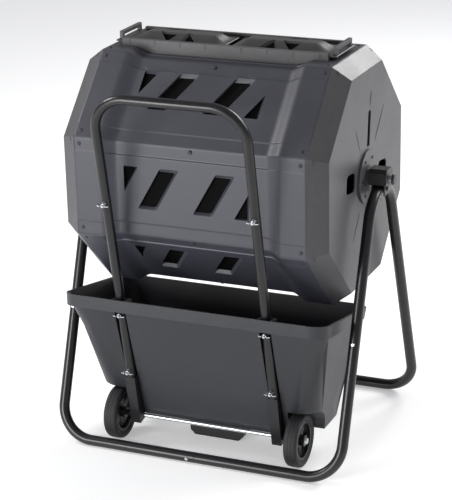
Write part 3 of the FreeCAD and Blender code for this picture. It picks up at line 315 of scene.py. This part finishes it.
def softened(name, material, radius, segments=2, angle=32):
    """A copy of a CAD solid with merged triangles and rounded edges, in the solid's place."""
    shape = bmesh.new()
    shape.from_mesh(frame["nodes"][name].data)
    bmesh.ops.remove_doubles(shape, verts=shape.verts, dist=0.002 * MM)
    bmesh.ops.dissolve_limit(shape, angle_limit=math.radians(0.6), verts=shape.verts, edges=shape.edges)
    mesh = bpy.data.meshes.new(name + "_skin")
    shape.to_mesh(mesh)
    shape.free()
    mesh.materials.clear()
    mesh.materials.append(material)
    mesh.shade_smooth()
    mesh.set_sharp_from_angle(angle=math.radians(angle))
    piece = keep_object(name + "_skin", mesh)
    if radius:
        bevel = piece.modifiers.new("Edges", "BEVEL")
        bevel.width = radius
        bevel.segments = segments
        bevel.limit_method = "ANGLE"
        bevel.angle_limit = math.radians(angle)
        bevel.harden_normals = True
    place_piece(piece, BODY_OF[name], (name,))
    return piece


SOFT_SOLIDS = [
    (BLACK_COAT, 0.5, ["left_a_frame", "right_a_frame", "left_front_leg", "left_rear_leg",
                       "right_front_leg", "right_rear_leg", "handle_loop",
                       "left_handle_leg", "right_handle_leg"]),
    (BLACK_COAT, 1.2, ["left_axle_arm", "right_axle_arm"]),
    (BLACK_PLASTIC, 1.5, ["left_axle_bracket", "right_axle_bracket", "cart_foot"]),
    (BLACK_PLASTIC, 0.8, ["drum_axle_caps", "axle_spacers", "left_wheel_hub", "right_wheel_hub"]),
    (ZINC, 0.6, ["cart_axle", "drum_axle", "axle_caps", "tube_spigots", "handle_spigots"]),
    (CAP_PLASTIC, 1.0, ["left_hub_plate", "right_hub_plate"]),
    (LID_PLASTIC, 0.9, ["front_door_rail", "rear_door_rail", "left_door_grip", "right_door_grip"]),
    (PANEL_PLASTIC, 0.8, ["divider"]),
]
for material, radius_mm, names in SOFT_SOLIDS:
    for name in names:
        softened(name, material, radius_mm * MM)
print("softened solids:", sum(len(names) for _, _, names in SOFT_SOLIDS))

# %% [markdown]
# ## Pressed skins
# A thin moulding is a surface first: a sheet whose height above its back depends on the place. The
# panels and lids are both made this way. A fine net follows the ramps and steps, openings are cut
# out of it and get sloping walls and a dark floor, and a solidify step gives the wall its thickness.

# %% A skin from a height map
FLOOR_SLOT = 1


def smooth(t):
    t = min(max(t, 0.0), 1.0)
    return t * t * (3 - 2 * t)


def inside(point, outline):
    """True if a flat point lies inside a closed outline."""
    hit = False
    for (ax, ay), (bx, by) in zip(outline, outline[1:] + outline[:1]):
        if (ay > point[1]) != (by > point[1]) and point[0] < (bx - ax) * (point[1] - ay) / (by - ay) + ax:
            hit = not hit
    return hit


def rounded(corners, radius, steps=4):
    """An outline with each corner replaced by a small curve."""
    result = []
    count = len(corners)
    for k in range(count):
        here = Vector(corners[k])
        before = (Vector(corners[k - 1]) - here)
        after = (Vector(corners[(k + 1) % count]) - here)
        reach = min(radius, before.length * 0.4, after.length * 0.4)
        start, end = here + before.normalized() * reach, here + after.normalized() * reach
        for i in range(steps + 1):
            t = i / steps
            result.append(tuple((1 - t) ** 2 * start + 2 * t * (1 - t) * here + t * t * end))
    return result


def drawn_in(outline, amount, shift):
    """The outline made smaller round its middle and moved a little: the floor of a sloping pocket."""
    middle = sum((Vector(p) for p in outline), Vector((0, 0))) / len(outline)
    return [tuple(middle + (Vector(p) - middle) * amount + Vector(shift)) for p in outline]


def skin(name, columns, rows, place, holes, pockets, depth, shift, draw=0.86):
    """A net over columns and rows, bent by place(u, v, sink), with through holes and floored pockets."""
    points = [(u, v) for u in columns for v in rows if not any(inside((u, v), h) for h in holes + pockets)]
    edges = []
    border = [(u, rows[0]) for u in columns] + [(columns[-1], v) for v in rows[1:]]
    border += [(u, rows[-1]) for u in reversed(columns[:-1])]
    border += [(columns[0], v) for v in reversed(rows[1:-1])]
    for outline in [border] + holes + pockets:
        first = len(points)
        points += outline
        edges += [(first + i, first + (i + 1) % len(outline)) for i in range(len(outline))]
    flat, _, faces, _, _, _ = delaunay_2d_cdt([Vector(p) for p in points], edges, [], 1, 1e-4)
    shape = bmesh.new()
    verts = [shape.verts.new(place(p[0], p[1], 0.0)) for p in flat]
    for face in faces:
        middle = sum((flat[i] for i in face), Vector((0, 0))) / len(face)
        if not any(inside(middle, h) for h in holes + pockets):
            shape.faces.new([verts[i] for i in face])
    for outline in pockets:
        top = [shape.verts.new(place(u, v, 0.0)) for u, v in outline]
        lip = [shape.verts.new(place(u, v, 0.9)) for u, v in drawn_in(outline, 0.985, (0, 0))]
        low = [shape.verts.new(place(u, v, depth)) for u, v in drawn_in(outline, draw, shift)]
        count = len(outline)
        for upper, lower in ((top, lip), (lip, low)):
            for i in range(count):
                j = (i + 1) % count
                shape.faces.new([upper[i], upper[j], lower[j], lower[i]])
        shape.faces.new(low).material_index = FLOOR_SLOT
    bmesh.ops.remove_doubles(shape, verts=shape.verts, dist=0.01 * MM)
    bmesh.ops.recalc_face_normals(shape, faces=shape.faces)
    mesh = bpy.data.meshes.new(name)
    shape.to_mesh(mesh)
    shape.free()
    mesh.shade_smooth()
    mesh.set_sharp_from_angle(angle=math.radians(38))
    return mesh


def thicken(piece, wall):
    """Gives a skin its wall on the inner side, as plain mesh."""
    step = piece.modifiers.new("Wall", "SOLIDIFY")
    step.thickness = wall
    step.offset = -1.0
    step.use_rim = True
    graph = bpy.context.evaluated_depsgraph_get()
    solid = bpy.data.meshes.new_from_object(piece.evaluated_get(graph))
    piece.modifiers.remove(step)
    piece.data = solid


def outward(mesh, direction):
    """Turns the faces over if the skin's first big face looks the wrong way."""
    total = sum((p.normal.dot(direction) * p.area for p in mesh.polygons))
    if total < 0:
        mesh.flip_normals()


print("skin tools ready")

# %% [markdown]
# ## The eight panels
# Each panel is a flat plank whose middle is pressed in by 14 mm over a soft ramp, with a slightly
# proud field between two steps. Four air vents, two slanted and two three-cornered, pass through
# the field as hooded pockets. The long edges and the ends roll over by half a millimetre, which
# draws the seams.

# %% Make the panels
HALF_FLATS, HALF_EDGE, HALF_LENGTH = 275.0, 113.9, 276.0
PRESS, RAMP_START, RAMP_END = 14.0, 176.0, 218.0
FIELD_EDGE, FIELD_STEP = 82.0, 3.4
EDGE_GAP = 0.35
NET_ALONG = [0, 20, 45, 70, 95, 120, 145, 162, 170, 230, 242, 255, 266, 272, 274.2, 275.3, 276]
NET_ALONG += [174 + 2.6 * i for i in range(19)]
COLUMNS = sorted({s * x for x in NET_ALONG for s in (-1, 1)})
NET_ACROSS = [0, 16, 32, 48, 62, 74, 79, 80.9, 81.3, 81.7, 82.2, 82.7, 83.1, 86, 90, 98, 106]
NET_ACROSS += [110.5, 112.3, 113.2, 113.9]
ROWS = sorted({s * v for v in NET_ACROSS for s in (-1, 1)})
PANEL_TURN = {"top_panel": 0, "upper_front_panel": 45, "front_panel": 90, "lower_front_panel": 135,
              "bottom_panel": 180, "lower_rear_panel": 225, "rear_panel": 270, "upper_rear_panel": 315}
PRESSED_SCALE = HALF_FLATS / (HALF_FLATS - PRESS)
VENT_HALF_TALL, VENT_FAR, VENT_NEAR = 49, 51.5, 5.5
POCKET_DEPTH, PANEL_WALL = 7.5, 2.6


def press_at(x):
    return smooth((RAMP_END - abs(x)) / (RAMP_END - RAMP_START))


def panel_point(x, v, sink, turn):
    """A place on a panel's outer face, in metres, with v running from edge to edge."""
    pressed = press_at(x)
    base = HALF_FLATS - PRESS * pressed
    roll = 0.9 * (1 - smooth((HALF_EDGE - abs(v)) / 2.2)) + 0.7 * (1 - smooth((HALF_LENGTH - abs(x)) / 1.9))
    field = FIELD_STEP * smooth((FIELD_EDGE + 1.1 - abs(v)) / 2.2) * (0.22 + 0.78 * pressed)
    height = base - FIELD_STEP * 0.6 * pressed + field * 0.75 - roll - sink
    side = v * base / HALF_FLATS - EDGE_GAP * v / HALF_EDGE
    c, s = math.cos(math.radians(turn)), math.sin(math.radians(turn))
    return Vector((x, -height * s + side * c, height * c + side * s + AXLE_Z / MM)) * MM


def vent_outlines(raise_by):
    low, high = -VENT_HALF_TALL + raise_by, VENT_HALF_TALL + raise_by
    slanted = []
    for middle in (-79, 55):
        slanted.append([(middle - VENT_FAR, low), (middle - VENT_NEAR, low),
                        (middle + VENT_FAR, high), (middle + VENT_NEAR, high)])
    left = [(-162, high), (-162, high - 62), (-162 + 36, high)]
    right = [(138, low), (138, low + 62), (138 - 36, low)]
    return [rounded([(x, s * PRESSED_SCALE) for x, s in o], 5.0) for o in slanted + [left, right]]


def make_panel(name, turn):
    rises = {"top_panel": None, "upper_front_panel": 27, "upper_rear_panel": 27}
    lift = rises.get(name, 5)
    direction = Vector((0, -math.sin(math.radians(turn)), math.cos(math.radians(turn))))
    if lift is None:
        side = 42 * PRESSED_SCALE
        near, far = 20, 168
        holes = [rounded([(s * near, -side), (s * far, -side), (s * far, side), (s * near, side)], 8.0)
                 for s in (-1, 1)]
        pockets = []
    else:
        holes, pockets = [], vent_outlines(lift)
    mesh = skin(name + "_skin", COLUMNS, ROWS, lambda u, v, sink: panel_point(u, v, sink, turn),
                holes, pockets, POCKET_DEPTH, (-5.0, -1.5))
    outward(mesh, direction)
    mesh.materials.append(PANEL_PLASTIC)
    mesh.materials.append(DARK_INSIDE)
    piece = keep_object(name + "_skin", mesh)
    thicken(piece, PANEL_WALL * MM)
    place_piece(piece, "drum", (name,))


DARK_INSIDE = moulded_plastic("shadowed_polypropylene", "#050506", "#0b0b0c", "#121213", 0.8)
DARK_INSIDE.node_tree.nodes["Principled BSDF"].inputs["Specular IOR Level"].default_value = 0.08
for name, turn in PANEL_TURN.items():
    make_panel(name, turn)
print("panels made:", len(PANEL_TURN), "press depth mm:", PRESS)

# %% [markdown]
# ## The sliding lids
# Each lid is a shallow dome on a flat flange that runs in the two rails. Two three-cornered pockets,
# one pointing up and one down, stiffen the dome's front slope, and again at the rear. The dome dies
# away before the flat end where the grip stands.

# %% Make the lids
BORDER_Z = AXLE_Z / MM + HALF_FLATS
LID_START, LID_END, LID_SIDE = 7.0, 268.0, 60.0


def lid_point(x, y, sink, side):
    along = smooth((x - 10) / 34) * smooth((244 - x) / 46)
    over = smooth((47 - abs(y)) / 34)
    roll = 0.8 * (1 - smooth((LID_SIDE - abs(y)) / 1.8))
    height = 10.2 + 15.8 * along * over - roll - sink
    return Vector((side * x, y, BORDER_Z + height)) * MM


def make_lid(side, name, body):
    columns = sorted({LID_START + (LID_END - LID_START) * i / 60 for i in range(61)})
    rows = sorted({LID_SIDE * i / 34 for i in range(-34, 35)} | {s * 59.2 for s in (-1, 1)})
    pockets = []
    for way in (-1, 1):
        near, far = 43.0 * way, 10.0 * way
        pockets.append(rounded([(70, near), (118, near), (104, far)], 2.5))
        pockets.append(rounded([(122, far), (178, far), (150, near)], 2.5))
    mesh = skin(name + "_skin", columns, rows, lambda u, v, sink: lid_point(u, v, sink, side),
                [], pockets, 6.0, (0.0, 0.0), 0.8)
    outward(mesh, Vector((0, 0, 1)))
    mesh.materials.append(LID_PLASTIC)
    mesh.materials.append(DARK_INSIDE)
    piece = keep_object(name + "_skin", mesh)
    thicken(piece, 2.4 * MM)
    place_piece(piece, body, (name,))


make_lid(-1, "left_door", "door_left")
make_lid(1, "right_door", "door_right")
print("lid height above the border, mm:", 26)

# %% [markdown]
# ## End caps
# The caps keep their solid shape, with softened bevels. Six pressed creases run out from the hub of
# each: they stiffen the flat face against the axle's push. They are low ridges with tapering ends.

# %% Make the caps and their creases
for name in ("left_end_cap", "right_end_cap"):
    softened(name, CAP_PLASTIC, 1.4 * MM, angle=20)

CREASES = [(-33, 80, 150), (7, 158, 196), (38, 84, 186), (-146, 84, 160), (172, 84, 176), (128, 84, 150)]
CAP_FACE = 317.0


def make_creases(side, cap):
    shape = bmesh.new()
    for angle, start, end in CREASES:
        turn = math.radians(angle)
        out = Vector((0, math.sin(turn), math.cos(turn)))
        aside = Vector((0, math.cos(turn), -math.sin(turn)))
        rings = []
        for i in range(15):
            t = i / 14
            swell = math.sin(math.pi * t) ** 0.5
            centre = Vector((side * (CAP_FACE - 0.15), 0, AXLE_Z / MM)) + out * (start + (end - start) * t)
            centre += aside * 5 * math.sin(math.pi * t * 0.5) ** 2
            ring = []
            for k in range(5):
                w = (k / 4 - 0.5) * 2
                spread = aside * w * 2.4 * max(swell, 0.05)
                rise = Vector((side * 1.3 * swell * (1 - w * w), 0, 0))
                ring.append(shape.verts.new((centre + spread + rise) * MM))
            rings.append(ring)
        for a, b in zip(rings, rings[1:]):
            for k in range(4):
                shape.faces.new([a[k], a[k + 1], b[k + 1], b[k]])
    mesh = bpy.data.meshes.new(cap + "_creases")
    shape.to_mesh(mesh)
    shape.free()
    outward(mesh, Vector((side, 0, 0)))
    mesh.shade_smooth()
    mesh.materials.append(CAP_PLASTIC)
    piece = keep_object(cap + "_creases", mesh)
    place_piece(piece, "drum")


make_creases(-1, "left_cap")
make_creases(1, "right_cap")
print("creases per cap:", len(CREASES))

# %% [markdown]
# ## Screws and clip slots
# The same small part sits in many places, so one geometry node tree does the work: it takes points
# that carry a turn, sets an item on each, joins the copies and gives them their material. The screw
# is a pan head with a cross recess; the clip slot is a dark sunken tray.

# %% Repeat small parts with geometry nodes
def repeat_tree(name, material):
    """A node tree that sets a small part on each point, by the point's own turn."""
    tree = bpy.data.node_groups.new(name, "GeometryNodeTree")
    tree.interface.new_socket("Geometry", in_out="INPUT", socket_type="NodeSocketGeometry")
    tree.interface.new_socket("Item", in_out="INPUT", socket_type="NodeSocketObject")
    tree.interface.new_socket("Size", in_out="INPUT", socket_type="NodeSocketFloat")
    tree.interface.new_socket("Geometry", in_out="OUTPUT", socket_type="NodeSocketGeometry")
    given = tree.nodes.new("NodeGroupInput")
    item = node(tree, "GeometryNodeObjectInfo", {"Object": given.outputs["Item"]})
    turn = node(tree, "GeometryNodeInputNamedAttribute", {"Name": "turn"}, data_type="FLOAT_VECTOR")
    turning = node(tree, "FunctionNodeEulerToRotation", {0: turn.outputs["Attribute"]})
    set_on = node(tree, "GeometryNodeInstanceOnPoints", {
        "Points": given.outputs["Geometry"], "Instance": item.outputs["Geometry"],
        "Rotation": turning.outputs["Rotation"], "Scale": given.outputs["Size"]})
    real = node(tree, "GeometryNodeRealizeInstances", {"Geometry": set_on.outputs["Instances"]})
    painted = node(tree, "GeometryNodeSetMaterial", {"Geometry": real.outputs["Geometry"]})
    painted.inputs["Material"].default_value = material
    result = tree.nodes.new("NodeGroupOutput")
    tree.links.new(painted.outputs["Geometry"], result.inputs["Geometry"])
    return tree


def repeat_item(name, places, item, material, body, replaced=(), size=1.0):
    """Sets item on each (point mm, outward direction, spin) and keeps the result as plain mesh."""
    mesh = bpy.data.meshes.new(name + "_points")
    mesh.from_pydata([Vector(p) * MM for p, _, _ in places], [], [])
    turns = mesh.attributes.new("turn", "FLOAT_VECTOR", "POINT")
    for i, (_, out, spin) in enumerate(places):
        facing = Vector(out).to_track_quat("Z", "Y") @ Quaternion((0, 0, 1), math.radians(spin))
        turns.data[i].vector = facing.to_euler()
    piece = keep_object(name, mesh)
    step = piece.modifiers.new("Repeat", "NODES")
    step.node_group = repeat_tree(name + "_tree", material)
    sockets = {s.name: s.identifier for s in step.node_group.interface.items_tree if s.in_out == "INPUT"}
    step[sockets["Item"]] = item
    step[sockets["Size"]] = size
    graph = bpy.context.evaluated_depsgraph_get()
    plain = bpy.data.meshes.new_from_object(piece.evaluated_get(graph))
    piece.modifiers.remove(step)
    piece.data = plain
    plain.name = name
    place_piece(piece, body, replaced)
    return piece


def screw_item():
    """A pan head of 4.6 mm radius, 2.4 mm high, with a cross recess."""
    profile = [(4.6, -0.6), (4.6, 0.7), (4.35, 1.4), (3.7, 2.0), (2.7, 2.35), (1.4, 2.5)]
    shape = bmesh.new()
    count = 24
    rings = []
    for radius, height in profile:
        ring = []
        for k in range(count):
            angle = 2 * math.pi * k / count
            arm = abs(math.cos(2 * angle)) ** 8
            deep = 1.5 * arm * smooth((3.4 - radius) / 1.2)
            point = Vector((radius * math.cos(angle), radius * math.sin(angle), height - deep))
            ring.append(shape.verts.new(point * MM))
        rings.append(ring)
    for a, b in zip(rings, rings[1:]):
        for k in range(count):
            shape.faces.new([a[k], a[(k + 1) % count], b[(k + 1) % count], b[k]])
    middle = shape.verts.new(Vector((0, 0, 0.7)) * MM)
    for k in range(count):
        shape.faces.new([rings[-1][k], rings[-1][(k + 1) % count], middle])
    mesh = bpy.data.meshes.new("screw_item")
    shape.to_mesh(mesh)
    shape.free()
    mesh.shade_smooth()
    return mesh


def slot_item():
    """A shallow dark tray, 9 by 3 mm, with a rim."""
    rim = rounded([(-4.5, -1.5), (4.5, -1.5), (4.5, 1.5), (-4.5, 1.5)], 1.2)
    shape = bmesh.new()
    levels = [(1.12, -0.3), (1.08, 0.35), (0.98, 0.35), (0.9, -0.1)]
    rings = [[shape.verts.new(Vector((x * f, y * f, z)) * MM) for x, y in rim] for f, z in levels]
    for a, b in zip(rings, rings[1:]):
        for k in range(len(rim)):
            shape.faces.new([a[k], a[(k + 1) % len(rim)], b[(k + 1) % len(rim)], b[k]])
    shape.faces.new(rings[-1])
    mesh = bpy.data.meshes.new("slot_item")
    shape.to_mesh(mesh)
    shape.free()
    return mesh


def solid_centres(name):
    """The middle of each loose solid in a CAD node, in mm, and its corner points."""
    shape = bmesh.new()
    shape.from_mesh(frame["nodes"][name].data)
    bmesh.ops.remove_doubles(shape, verts=shape.verts, dist=0.01 * MM)
    left = set(shape.verts)
    found = []
    while left:
        group, waiting = set(), [left.pop()]
        while waiting:
            vert = waiting.pop()
            group.add(vert)
            for link in vert.link_edges:
                other = link.other_vert(vert)
                if other in left:
                    left.discard(other)
                    waiting.append(other)
        points = [frame["nodes"][name].matrix_world @ v.co for v in group]
        low = Vector([min(p[i] for p in points) for i in range(3)])
        high = Vector([max(p[i] for p in points) for i in range(3)])
        found.append(((low + high) / 2 / MM, [p / MM for p in points]))
    shape.free()
    return found


screw_master = keep_object("screw_master", screw_item())
slot_master = keep_object("slot_master", slot_item())
axle_point = Vector((0, 0, AXLE_Z / MM))
panel_places = []
for centre, points in solid_centres("panel_screws"):
    out = Vector((0, centre.y, centre.z - axle_point.z))
    turn = round(math.degrees(math.atan2(-out.y, out.z)) / 45) * 45
    out = Vector((0, -math.sin(math.radians(turn)), math.cos(math.radians(turn))))
    top = max(p.dot(out) for p in points)
    seat = centre + out * (top - centre.dot(out) - 2.4)
    panel_places.append((seat, out, 20 * len(panel_places)))
repeat_item("panel_screw_heads", panel_places, screw_master, BLACK_SCREW,
            "drum", ("panel_screws",))
hub_places = []
for centre, points in solid_centres("hub_screws"):
    way = 1 if centre.x > 0 else -1
    out = Vector((way, 0, 0))
    top = max(p.dot(out) for p in points)
    hub_places.append((centre + out * (top - centre.dot(out) - 2.4), out, 33 * len(hub_places)))
repeat_item("hub_screw_heads", hub_places, screw_master, BLACK_SCREW,
            "drum", ("hub_screws",))
slot_places = []
CORNER_ANGLE = math.radians(22.5)
BEVEL_IN, BEVEL_DEEP, SLOT_FROM_SEAM, SLOT_FROM_CORNER = 30, 41, 13, 6
for side in (-1, 1):
    for corner in range(8):
        angle = CORNER_ANGLE + math.radians(45 * corner)
        face = math.radians(45 * (corner + 1))
        out = Vector((0, -math.sin(face), math.cos(face)))
        along = Vector((0, -math.sin(angle), math.cos(angle)))
        past = Vector((0, -math.sin(angle + math.pi / 2), math.cos(angle + math.pi / 2)))
        at = axle_point + along * (HALF_FLATS - 9.5) / math.cos(CORNER_ANGLE)
        at += Vector((side * (HALF_LENGTH + SLOT_FROM_SEAM), 0, 0)) + past * SLOT_FROM_CORNER
        normal = (out * BEVEL_DEEP + Vector((side * BEVEL_IN, 0, 0))).normalized()
        gap = (HALF_FLATS - BEVEL_IN * SLOT_FROM_SEAM / BEVEL_DEEP) - (at - axle_point).dot(out)
        slot_places.append((at + out * gap, normal, 90))
repeat_item("cap_clip_slots", slot_places, slot_master, DARK_INSIDE, "drum")
rail_places = []
for name, way in (("front_door_rail", -1), ("rear_door_rail", 1)):
    low, high = (Vector(corner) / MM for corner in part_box(name))
    for x in (44, 106, 168, 230):
        for side in (-1, 1):
            rail_places.append(((side * x, low.y if way < 0 else high.y, high.z - 7.5), (0, way, 0), 90))
repeat_item("rail_clip_slots", rail_places, slot_master, DARK_INSIDE, "drum")
for master in (screw_master, slot_master):
    bpy.data.objects.remove(master)
print("screws:", len(panel_places) + len(hub_places), "clip slots:", len(slot_places) + len(rail_places))

# %% [markdown]
# ## The collecting tub
# The tub is one deep moulding. The last stretch of its two ends flares out by a few millimetres
# towards the rim, eased in so that no line shows where the flare begins.

# %% Make the tub
FLARE, FLARE_START, FLARE_END = 9.0, 285.0, 350.0
tub = softened("cart_tub", TUB_PLASTIC, 1.1 * MM)
for vert in tub.data.vertices:
    x, z = vert.co.x / MM, vert.co.z / MM
    high = smooth((z - FLARE_START) / (FLARE_END - FLARE_START))
    outer_part = smooth((abs(x) - 215) / 70)
    vert.co.x += math.copysign(FLARE * high * outer_part, x) * MM
print("rim half length mm:", round(max(v.co.x for v in tub.data.vertices) / MM, 1))

# %% [markdown]
# ## Bright fixings
# The frame's screws and the handle's wing nuts are zinc-plated; the bracket's bolts are black. Their
# solids already have heads, nuts and wings, so they only need rounder edges to catch the light.

# %% Brighten the fixings
for name in ("frame_screws", "bracket_bolts", "wing_bolts"):
    softened(name, ZINC if name != "bracket_bolts" else BLACK_SCREW, 0.45 * MM)
print("fixings softened")

# %% [markdown]
# ## Tyres
# The tyres are smooth-treaded, with rounded shoulders, a bead that grips the rim and two fine
# moulding lines. Each is one profile swept round the axle.

# %% Make the tyres
def make_tyre(side, name, body):
    low, high = (Vector(corner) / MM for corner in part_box(name))
    centre = (low + high) / 2
    half, outer = (high.x - low.x) / 2, (high.z - low.z) / 2
    bore = outer - 17.0
    bead = [(0.55, bore), (0.8, bore + 1), (0.92, bore + 4), (0.99, bore + 8)]
    shoulder = [(1.0, outer - 6), (0.93, outer - 2.6), (0.8, outer - 0.9), (0.55, outer - 0.1)]
    tread = [(0.3, outer), (0.28, outer - 0.7), (0.22, outer - 0.7), (0.2, outer)]
    profile = [(-half * share, radius) for share, radius in bead + shoulder + tread]
    profile += [(-a, r) for a, r in reversed(profile)]
    shape = bmesh.new()
    count = 96
    rings = []
    for k in range(count):
        angle = 2 * math.pi * k / count
        spoke = Vector((0, math.cos(angle), math.sin(angle)))
        rings.append([shape.verts.new((centre + spoke * r + Vector((a, 0, 0))) * MM) for a, r in profile])
    for k in range(count):
        a, b = rings[k], rings[(k + 1) % count]
        for i in range(len(profile)):
            j = (i + 1) % len(profile)
            shape.faces.new([a[i], a[j], b[j], b[i]])
    bmesh.ops.recalc_face_normals(shape, faces=shape.faces)
    mesh = bpy.data.meshes.new(name + "_skin")
    shape.to_mesh(mesh)
    shape.free()
    mesh.shade_smooth()
    mesh.set_sharp_from_angle(angle=math.radians(40))
    mesh.materials.append(RUBBER)
    piece = keep_object(name + "_skin", mesh)
    place_piece(piece, body, (name,))
    return outer


outer = [make_tyre(-1, "left_tyre", "wheel_left"), make_tyre(1, "right_tyre", "wheel_right")]
print("tyre radius mm:", [round(r, 1) for r in outer])
